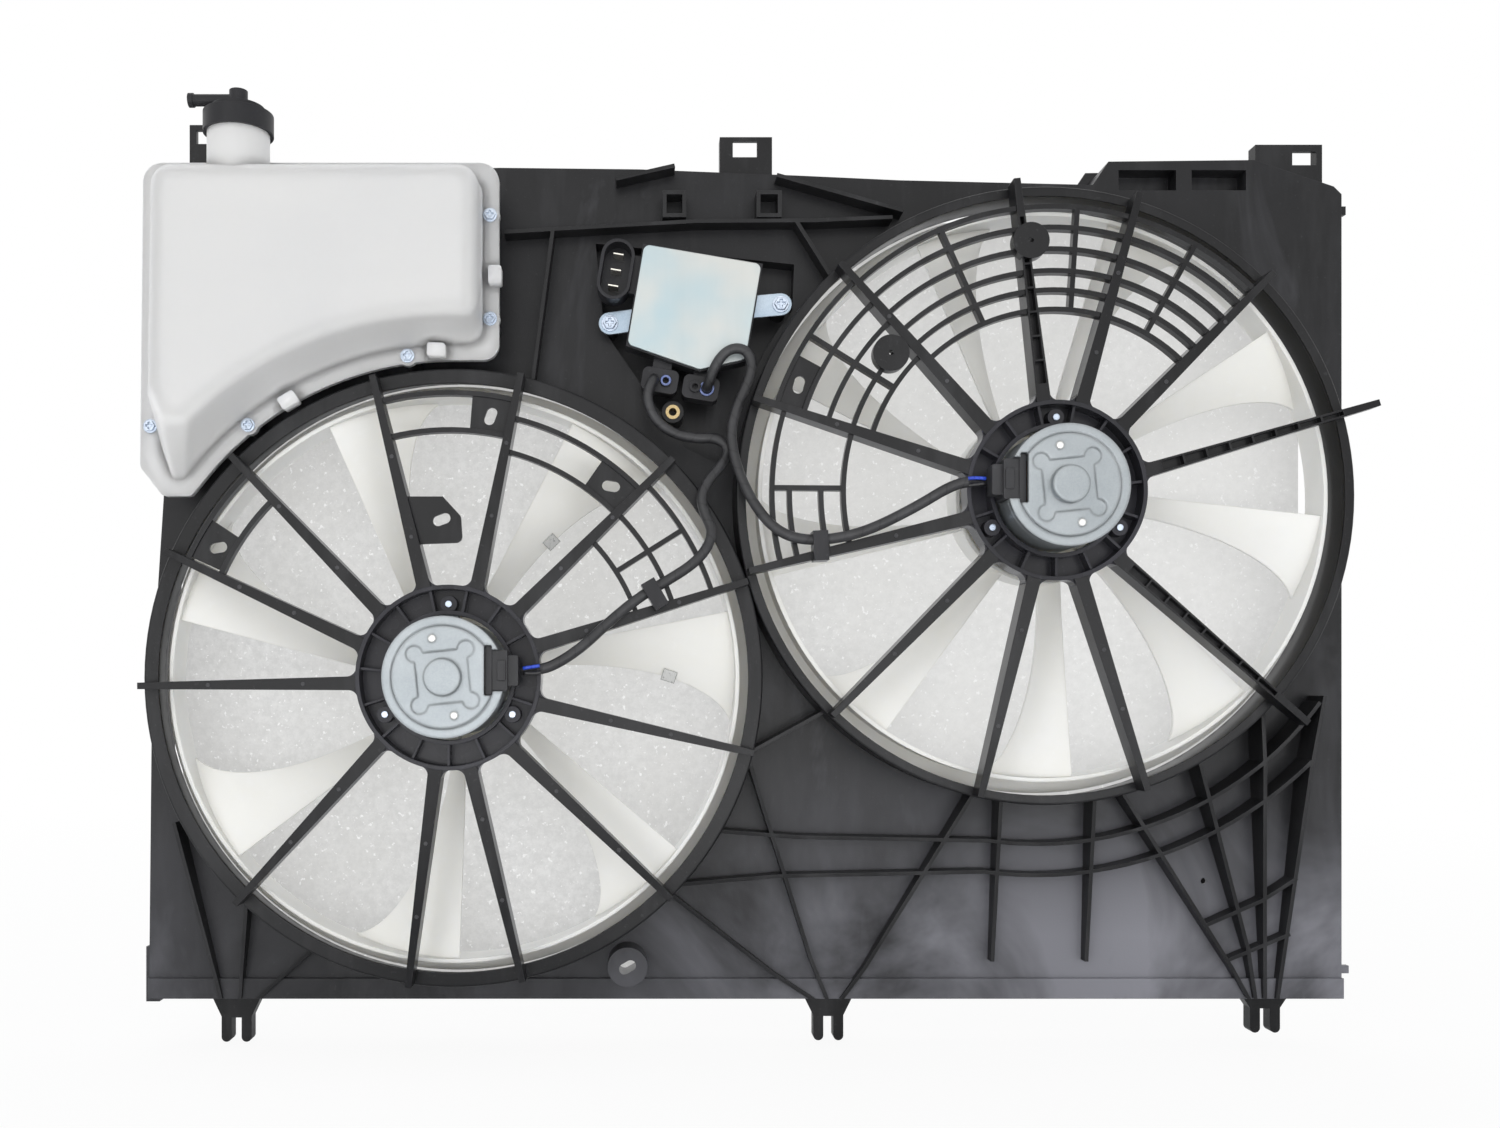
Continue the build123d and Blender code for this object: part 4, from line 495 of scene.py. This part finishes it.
controller_tilt = radians(9.6)
rolled = Finish("rolled_aluminium")
rolled.rounded(0.0008)
lines = rolled.noise(160, 3, 0.6, rolled.stretched((1, 1, 0.03), (0, controller_tilt, 0)))
cloud = rolled.noise(14, 3, 0.5)
shade = rolled.mix(rolled.ramp(cloud, 0.42, 0.6), (0.40, 0.495, 0.525, 1), (0.52, 0.53, 0.51, 1))
smear = rolled.noise(40, 4, 0.6, rolled.stretched((1, 1, 0.25), (0, controller_tilt, 0)))
wiped_share = 0.25
wiped = rolled.maths("MULTIPLY", rolled.ramp(smear, 0.55, 0.8), wiped_share)
shade = rolled.mix(wiped, shade, (0.58, 0.61, 0.62, 1))
rolled.bump(lines, 0.00008, 0.2)
rolled_aluminium = rolled.done(shade, rolled.ramp(lines, 0.3, 0.7, 0.38, 0.5), Metallic=0.55)
dress(rolled_aluminium, "controller_cover")
ear_plate = plated("bright_bracket_plate", (0.24, 0.32, 0.41, 1), (0.46, 0.53, 0.60, 1), 0.24, 1800, 0.8)
dress(ear_plate, "controller_bracket")
housing_black = moulded_black("housing_black", (0.012, 0.012, 0.014, 1), (0.024, 0.024, 0.028, 1),
                              (0.10, 0.10, 0.11, 1), 0.0005, 0.34)
dress(housing_black, "controller_housing", "left_lead_plug", "right_lead_plug", "lead_clips")
dress(inner("green_board", (0.01, 0.08, 0.04, 1), (0.02, 0.14, 0.07, 1), 300, 0.35, 0.0), "controller_board")
dress(inner("tinned_brass", (0.6, 0.58, 0.52, 1), (0.82, 0.8, 0.74, 1), 900, 0.25, 1.0), "supply_blades")
dress(inner("turned_brass", (0.34, 0.25, 0.12, 1), (0.54, 0.43, 0.24, 1), 900, 0.28, 1.0), "brass_insert")


# Screws
# Self-tapping screws with a pressed washer face, a hexagon and a cross recess, rolled and zinc plated.
# Five hold the reservoir's flange and two hold the controller's bracket to bosses in the shroud.

washer_share = 0.3
hexagon_share = 0.8
screw = Pattern("flanged_screw", ["Head radius", "Head height", "Recess width", "Shank radius",
                                  "Shank length"])
head_radius = screw.given["Head radius"]
head_height = screw.given["Head height"]
shank = screw.drum(screw.given["Shank radius"], screw.given["Shank length"],
                   screw.maths("MULTIPLY", screw.given["Shank length"], -0.5), 16)
washer_height = screw.maths("MULTIPLY", head_height, washer_share)
washer = screw.drum(head_radius, washer_height, screw.maths("MULTIPLY", washer_height, 0.5), 32)
head = screw.drum(screw.maths("MULTIPLY", head_radius, hexagon_share), head_height,
                  screw.maths("MULTIPLY", head_height, 0.5), 6)
recess_size = screw.add("ShaderNodeCombineXYZ", X=screw.given["Recess width"], Y=head_radius, Z=head_height)
cutter = screw.add("GeometryNodeMeshCube", Size=recess_size.outputs[0])
for turn in (0, 90):
    tool = screw.add("GeometryNodeTransform", Geometry=cutter.outputs[0],
                     Translation=screw.height(head_height), Rotation=(0, 0, radians(turn)))
    cut = screw.add("GeometryNodeMeshBoolean", {"operation": "DIFFERENCE", "solver": "EXACT"})
    screw.tree.links.new(head, cut.inputs["Mesh 1"])
    screw.tree.links.new(tool.outputs[0], cut.inputs["Mesh 2"])
    head = cut.outputs[0]
flanged_screw = screw.finish(screw.join(head, washer, shank))


def solids_of(node):
    """The lowest and highest corners of each separate solid in a CAD node."""
    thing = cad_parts[node]
    shape = bmesh.new()
    shape.from_mesh(thing.data)
    bmesh.ops.remove_doubles(shape, verts=shape.verts, dist=0.000001)
    seen = set()
    boxes = []
    for first in shape.verts:
        if first in seen:
            continue
        seen.add(first)
        reached = [first]
        places = []
        while reached:
            corner = reached.pop()
            places.append(thing.matrix_world @ corner.co)
            for edge in corner.link_edges:
                other = edge.other_vert(corner)
                if other not in seen:
                    seen.add(other)
                    reached.append(other)
        boxes.append([[pick(place[axis] for place in places) for axis in range(3)] for pick in (min, max)])
    shape.free()
    return boxes


screw_head_height = 0.003
screw_shank_radius = 0.002
reservoir_recess = 0.0014
controller_recess = 0.0016


def dressed_screws(name, node, recess_width):
    """Detailed screws where a CAD node has plain ones, with the same heads, seats and lengths."""
    boxes = solids_of(node)
    low, high = boxes[0]
    seats = [((low[0] + high[0]) / 2, low[1] + screw_head_height, (low[2] + high[2]) / 2)
             for low, high in boxes]
    thing = grown(name, seats, flanged_screw, screw_plate, "screw_steel", Head_radius=(high[0] - low[0]) / 2,
                  Head_height=screw_head_height, Recess_width=recess_width, Shank_radius=screw_shank_radius,
                  Shank_length=high[1] - low[1] - screw_head_height)
    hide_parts(node)


dressed_screws("reservoir_screws_detailed", "reservoir_screws", reservoir_recess)
dressed_screws("controller_screws_detailed", "controller_screws", controller_recess)


# Motor leads
# Two wires, one blue and one black, in a taped black sleeve run from each of the controller's plugs to
# a motor's connector. Each sleeve is held by one clip on a spoke and stops just short of the connector.

def metres(points):
    """Points of the drawing (across, up, height in mm) in the standing assembly's metres."""
    return [Vector((x / 1000, -height / 1000, up / 1000)) for x, up, height in points]


left_route = metres([
    (-59, 393, 60), (-59, 393, 67), (-64.5, 380, 69), (-58, 365, 67), (-46, 357, 66.5),
    (-32, 354.5, 66.5), (-19.5, 355, 67), (-12, 347, 69), (-17, 337, 73), (-26, 327, 77),
    (-31, 316, 79.5), (-28, 305, 81), (-23.5, 295, 83.5), (-27, 284, 87), (-36, 274, 89.5),
    (-50, 265, 91), (-68, 254.5, 92.5), (-87, 238.5, 97), (-101, 225, 101), (-114, 215.5, 103.5),
    (-127, 209.5, 104), (-140.15, 209.5, 104),
])
right_route = metres([
    (-26, 387, 60), (-26, 387, 68), (-21, 400, 73), (-13, 409, 73), (-3, 409, 73),
    (2, 400, 73), (-1, 388, 73.5), (-8, 373, 75), (-12.5, 357, 77), (-9, 335, 79.5),
    (1, 312, 83), (14, 295, 88.5), (30, 288.5, 90.5), (52, 289.5, 92), (72, 295, 95),
    (98, 308, 99.5), (116, 319, 103), (128, 322.5, 104), (140.15, 322.5, 104),
])
sleeve_radius = 0.0032
bare_length = 0.013
wire_radius = 0.00105
wire_tuck = 0.004
wire_offset = 0.0014
wire_bow = 0.0007
tape_pitch = 0.011


def smooth_line(name, points):
    """The points of a smooth line that the route's points steer."""
    curve = bpy.data.curves.new(name, "CURVE")
    curve.dimensions = "3D"
    spline = curve.splines.new("NURBS")
    spline.points.add(len(points) - 1)
    for steer, place in zip(spline.points, points):
        steer.co = (place.x, place.y, place.z, 1)
    spline.order_u = 3
    spline.use_endpoint_u = True
    spline.resolution_u = 10
    thing = bpy.data.objects.new(name, curve)
    scene.collection.objects.link(thing)
    ready = thing.evaluated_get(bpy.context.evaluated_depsgraph_get())
    mesh = bpy.data.meshes.new_from_object(ready)
    line = [corner.co.copy() for corner in mesh.vertices]
    bpy.data.objects.remove(thing)
    return line


def part_of(line, start, end):
    """The stretch of a line between two distances along it."""
    piece = []
    done = 0.0
    for here, after in zip(line, line[1:]):
        step = (after - here).length
        for place in (start, end):
            if done <= place < done + step:
                piece.append(here.lerp(after, (place - done) / step))
        if start < done + step < end:
            piece.append(after)
        done += step
    return piece


def length_of(line):
    return sum((after - here).length for here, after in zip(line, line[1:]))


def shown(name, shape, finish):
    """The object of a drawn mesh, with its finish, which rides on the shroud."""
    mesh = bpy.data.meshes.new(name)
    shape.to_mesh(mesh)
    shape.free()
    mesh.materials.append(finish)
    thing = bpy.data.objects.new(name, mesh)
    scene.collection.objects.link(thing)
    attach(thing, "shroud")
    return thing


def tube(name, line, radius, finish, sides=16):
    """A closed round tube along a line, with the distance along it and the share round it as its UV."""
    shape = bmesh.new()
    along = shape.loops.layers.uv.new("along")
    heading = (line[1] - line[0]).normalized()
    side = heading.orthogonal().normalized()
    rings = []
    run = 0.0
    for number, place in enumerate(line):
        before = line[max(number - 1, 0)]
        after = line[min(number + 1, len(line) - 1)]
        course = (after - before).normalized()
        side = (heading.rotation_difference(course) @ side).normalized()
        heading = course
        up = heading.cross(side)
        run += (place - before).length
        corners = []
        for step in range(sides):
            angle = 2 * pi * step / sides
            corners.append(shape.verts.new(place + side * cos(angle) * radius + up * sin(angle) * radius))
        rings.append((run, corners))
    for (low_run, low), (high_run, high) in zip(rings, rings[1:]):
        for step in range(sides):
            following = (step + 1) % sides
            face = shape.faces.new((low[step], low[following], high[following], high[step]))
            face.smooth = True
            spots = ((low_run, step), (low_run, step + 1), (high_run, step + 1), (high_run, step))
            for loop, (distance, position) in zip(face.loops, spots):
                loop[along].uv = (distance, position / sides)
    shape.faces.new(list(reversed(rings[0][1])))
    shape.faces.new(rings[-1][1])
    return shown(name, shape, finish)


taped = Finish("taped_sleeve")
spread = taped.add("ShaderNodeSeparateXYZ", Vector=taped.add("ShaderNodeTexCoord").outputs["UV"]).outputs
turns = taped.maths("ADD", taped.maths("MULTIPLY", spread["X"], 1 / tape_pitch), spread["Y"])
lap = taped.maths("FRACT", turns)
lap_edge = taped.ramp(lap, 0.0, 0.12)
crease = taped.noise(260, 4, 0.6)
worn = taped.ramp(taped.noise(70, 3, 0.6), 0.45, 0.75)
shade = taped.mix(lap_edge, (0.008, 0.008, 0.009, 1), (0.024, 0.024, 0.026, 1))
shade = taped.mix(taped.maths("MULTIPLY", worn, 0.5), shade, (0.06, 0.06, 0.065, 1))
taped.bump(lap, 0.0006, 0.7)
taped.bump(crease, 0.0003, 0.4)
taped_sleeve = taped.done(shade, taped.ramp(crease, 0.3, 0.7, 0.34, 0.52), Specular_IOR_Level=0.45)


def insulated(name, dark, light):
    """The glossy coat of a single wire."""
    skin = Finish(name)
    grain = skin.noise(600, 2)
    skin.bump(grain, 0.0001, 0.3)
    shade = skin.mix(skin.ramp(grain, 0.35, 0.65), dark, light)
    return skin.done(shade, skin.ramp(grain, 0.3, 0.7, 0.25, 0.4))


blue_coat = insulated("blue_wire_coat", (0.012, 0.04, 0.42, 1), (0.03, 0.09, 0.62, 1))
black_coat = insulated("black_wire_coat", (0.008, 0.008, 0.009, 1), (0.02, 0.02, 0.022, 1))
for side_name, route in (("left", left_route), ("right", right_route)):
    line = smooth_line(side_name + "_route", route)
    whole = length_of(line)
    covered = part_of(line, 0, whole - bare_length)
    sleeve = tube(side_name + "_taped_sleeve", covered, sleeve_radius, taped_sleeve)
    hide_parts(side_name + "_motor_lead")
    bare = part_of(line, whole - bare_length - wire_tuck, whole)
    for colour, finish, lift in (("blue", blue_coat, 1), ("black", black_coat, -1)):
        share = [number / (len(bare) - 1) for number in range(len(bare))]
        strand = [place + Vector((0, 0, lift * (wire_offset + wire_bow * sin(pi * part))))
                  for place, part in zip(bare, share)]
        tube(side_name + "_" + colour + "_wire", strand, wire_radius, finish, 10)


# Plug seals
# A soft blue silicone ring is pushed into the open port of the left plug, and another into the port
# that the right lead leaves by.

def turned(name, place, profile, finish, sides=32):
    """A ring turned about the fore and aft axis from its closed profile of (radius, height)."""
    shape = bmesh.new()
    rings = []
    for step in range(sides):
        angle = 2 * pi * step / sides
        corners = []
        for radius, rise in profile:
            spot = (place.x + radius * cos(angle), place.y - rise, place.z + radius * sin(angle))
            corners.append(shape.verts.new(spot))
        rings.append(corners)
    count = len(profile)
    for step in range(sides):
        near = rings[step]
        far = rings[(step + 1) % sides]
        for number in range(count):
            following = (number + 1) % count
            face = shape.faces.new((near[number], near[following], far[following], far[number]))
            face.smooth = True
    bmesh.ops.recalc_face_normals(shape, faces=shape.faces)
    return shown(name, shape, finish)


silicone = Finish("blue_silicone")
grain = silicone.noise(500, 3)
silicone.bump(grain, 0.0001, 0.4)
shade = silicone.mix(silicone.ramp(grain, 0.35, 0.65), (0.12, 0.16, 0.36, 1), (0.22, 0.27, 0.5, 1))
blue_silicone = silicone.done(shade, silicone.ramp(grain, 0.3, 0.7, 0.35, 0.5))
port_spacing = 0.0074
port_row = Vector((cos(-controller_tilt), 0, sin(-controller_tilt)))
open_port = left_route[0] + port_row * port_spacing
left_profile = [(0.0019, 0.0021), (0.0031, 0.0021), (0.0034, 0.0027), (0.0028, 0.0031), (0.0021, 0.0029)]
right_profile = [(0.0033, 0.0001), (0.0046, 0.0001), (0.0047, 0.0009), (0.0042, 0.0014), (0.0034, 0.0012)]
turned("left_port_seal", open_port, left_profile, blue_silicone)
turned("right_port_seal", right_route[0], right_profile, blue_silicone)


# Coolant reservoir
# Two halves of blow moulded natural polyethylene, milky and waxy, with a soft orange peel. Light
# soaks in, so its edges and the far wall glow a little and its shadows stay pale and bluish.

milk = Finish("milky_polyethylene")
milk.rounded(0.012)
cloud = milk.noise(11, 4, 0.55)
shade = milk.mix(milk.ramp(cloud, 0.35, 0.7), (0.955, 0.955, 0.97, 1), (0.92, 0.925, 0.95, 1))
milk.bump(milk.noise(140, 2), 0.0003, 0.25)
milk.bump(milk.noise(24, 2), 0.0012, 0.25)
milky_polyethylene = milk.done(shade, milk.ramp(cloud, 0.3, 0.7, 0.34, 0.48), Subsurface_Weight=0.6,
                               Subsurface_Radius=(0.03, 0.031, 0.034), Subsurface_Scale=1.0)
dress(milky_polyethylene, "reservoir_front", "reservoir_back", "dip_tube")
cap_black = moulded_black("cap_black", (0.012, 0.012, 0.014, 1), (0.022, 0.022, 0.025, 1),
                          (0.09, 0.09, 0.1, 1), 0.0006, 0.4)
dress(cap_black, "reservoir_cap")
dress(inner("seal_rubber", (0.01, 0.01, 0.01, 1), (0.025, 0.025, 0.025, 1), 800, 0.6, 0.0), "cap_seal")


# Stage
# A plain pale floor under the feet, a white surround, and the pale speckled sheet that the assembly
# lies against, which shows between the blades.

def stage_plane(name, corners, material):
    mesh = bpy.data.meshes.new(name)
    mesh.from_pydata(corners, [], [(0, 1, 2, 3)])
    mesh.materials.append(material)
    thing = bpy.data.objects.new(name, mesh)
    scene.collection.objects.link(thing)
    return thing


floor_gap = 0.0005
floor_reach = 6
floor_height = cad_box[0][2] - floor_gap
# To the camera the floor shines white by itself, by this share near the assembly and fully far off
near_floor = 0.5
far_floor = 2.0
near_glow = 0.92
pale = Finish("pale_floor")
pale_floor = pale.done(pale.mix(pale.noise(3), (0.96, 0.96, 0.96, 1), (0.98, 0.98, 0.98, 1)), 0.9)
path = pale.add("ShaderNodeLightPath")
glow = pale.add("ShaderNodeEmission", Color=(1, 1, 1, 1), Strength=1.0)
distance = pale.add("ShaderNodeVectorMath", operation="LENGTH")
pale.set(distance.inputs[0], pale.place)
fade = pale.ramp(distance.outputs["Value"], near_floor, far_floor, near_glow, 1.0)
blend_floor = pale.add("ShaderNodeMixShader")
pale.set(blend_floor.inputs[0], pale.maths("MULTIPLY", path.outputs["Is Camera Ray"], fade))
pale.set(blend_floor.inputs[1], pale.shader.outputs[0])
pale.set(blend_floor.inputs[2], glow.outputs[0])
pale.set(pale.tree.nodes["Material Output"].inputs["Surface"], blend_floor.outputs[0])
floor_corners = [(across * floor_reach, away * floor_reach, floor_height)
                 for across, away in ((-1, -1), (1, -1), (1, 1), (-1, 1))]
stage_plane("floor", floor_corners, pale_floor)

sheet_back = 0.002
sheet_reach = 0.375
sheet_low = 0.008
sheet_high = 0.512
# The sheet is paler towards the right, and a painted shadow darkens it behind the drain hole in the shroud's
# lower right
paler_from = -0.1
paler_to = 0.2
paler_share = 0.4
drain_shadow_place = (0.303, sheet_back, 0.072)
painted_shadow_edge = 0.03
painted_shadow_core = 0.02
own_light = 0.62
sheet = Finish("speckled_sheet")
fleck = sheet.ramp(sheet.noise(230, 5, 0.7), 0.38, 0.64)
glint = sheet.ramp(sheet.noise(330, 3, 0.6), 0.63, 0.69)
soft = sheet.noise(7, 4, 0.6)
tone = sheet.mix(fleck, (0.71, 0.71, 0.705, 1), (0.82, 0.82, 0.815, 1))
tone = sheet.mix(sheet.ramp(soft, 0.35, 0.65, 0, 0.6), tone, (0.70, 0.695, 0.675, 1))
tone = sheet.mix(glint, tone, (0.97, 0.97, 0.97, 1))
across = sheet.add("ShaderNodeSeparateXYZ", Vector=sheet.place).outputs["X"]
tone = sheet.mix(sheet.ramp(across, paler_from, paler_to, 0, paler_share), tone, (0.97, 0.97, 0.96, 1))
# A painted shadow on the sheet behind the drain hole
drain_shadow_distance = sheet.add("ShaderNodeVectorMath", operation="DISTANCE")
sheet.set(drain_shadow_distance.inputs[0], sheet.place)
drain_shadow_distance.inputs[1].default_value = drain_shadow_place
tone = sheet.mix(sheet.ramp(drain_shadow_distance.outputs["Value"], painted_shadow_edge, painted_shadow_core), tone, (0.01, 0.01, 0.01, 1))
sheet.done(tone, 0.8)
shine = sheet.add("ShaderNodeEmission", Color=tone, Strength=1.0)
lit = sheet.add("ShaderNodeMixShader", Fac=own_light)
sheet.set(lit.inputs[1], sheet.shader.outputs[0])
sheet.set(lit.inputs[2], shine.outputs[0])
# Only the camera sees the sheet, and only its front
clear = sheet.add("ShaderNodeBsdfTransparent")
path = sheet.add("ShaderNodeLightPath")
rear = sheet.add("ShaderNodeNewGeometry").outputs["Backfacing"]
seen = sheet.maths("MULTIPLY", path.outputs["Is Camera Ray"], sheet.maths("SUBTRACT", 1.0, rear))
blend_sheet = sheet.add("ShaderNodeMixShader")
sheet.set(blend_sheet.inputs[0], seen)
sheet.set(blend_sheet.inputs[1], clear.outputs[0])
sheet.set(blend_sheet.inputs[2], lit.outputs[0])
sheet.set(sheet.tree.nodes["Material Output"].inputs["Surface"], blend_sheet.outputs[0])
sheet_corners = [(-sheet_reach, sheet_back, sheet_low), (sheet_reach, sheet_back, sheet_low),
                 (sheet_reach, sheet_back, sheet_high), (-sheet_reach, sheet_back, sheet_high)]
stage_plane("speckled_sheet", sheet_corners, sheet.material)

# The camera, reflections and see-through rays meet plain white; all other light comes from a dimmer,
# faintly blue surround
world = bpy.data.worlds.new("surround")
scene.world = world
world.use_nodes = True
tree = world.node_tree
background = tree.nodes["Background"]
background.inputs["Color"].default_value = (0.97, 0.985, 1.0, 1)
background.inputs["Strength"].default_value = 0.79
white = tree.nodes.new("ShaderNodeBackground")
white.inputs["Color"].default_value = (1, 1, 1, 1)
white.inputs["Strength"].default_value = 1.0
path = tree.nodes.new("ShaderNodeLightPath")
clear_ray = tree.nodes.new("ShaderNodeMath")
clear_ray.operation = "MAXIMUM"
tree.links.new(path.outputs["Is Camera Ray"], clear_ray.inputs[0])
tree.links.new(path.outputs["Is Transmission Ray"], clear_ray.inputs[1])
white_ray = tree.nodes.new("ShaderNodeMath")
white_ray.operation = "MAXIMUM"
tree.links.new(clear_ray.outputs[0], white_ray.inputs[0])
tree.links.new(path.outputs["Is Glossy Ray"], white_ray.inputs[1])
mixed = tree.nodes.new("ShaderNodeMixShader")
tree.links.new(white_ray.outputs[0], mixed.inputs[0])
tree.links.new(background.outputs[0], mixed.inputs[1])
tree.links.new(white.outputs[0], mixed.inputs[2])
tree.links.new(mixed.outputs[0], tree.nodes["World Output"].inputs["Surface"])


def lamp(name, place, aim, size, power, colour):
    light = bpy.data.lights.new(name, "AREA")
    light.shape = "RECTANGLE"
    light.size, light.size_y = size
    light.energy = power
    light.color = colour
    thing = bpy.data.objects.new(name, light)
    thing.location = place
    thing.rotation_euler = (Vector(aim) - Vector(place)).to_track_quat("-Z", "Y").to_euler()
    scene.collection.objects.link(thing)


lamp("front", (-0.1, -2.4, 0.72), (0, 0, 0.3), (3.2, 1.4), 12, (1.0, 0.995, 0.985))
lamp("key", (-0.9, -1.5, 1.5), (0, 0, 0.3), (1.2, 0.9), 2, (1.0, 0.985, 0.96))
lamp("low", (-0.1, -1.1, 0.06), (-0.1, 0, 0.35), (2.0, 0.14), 3.6, (0.98, 0.985, 1.0))
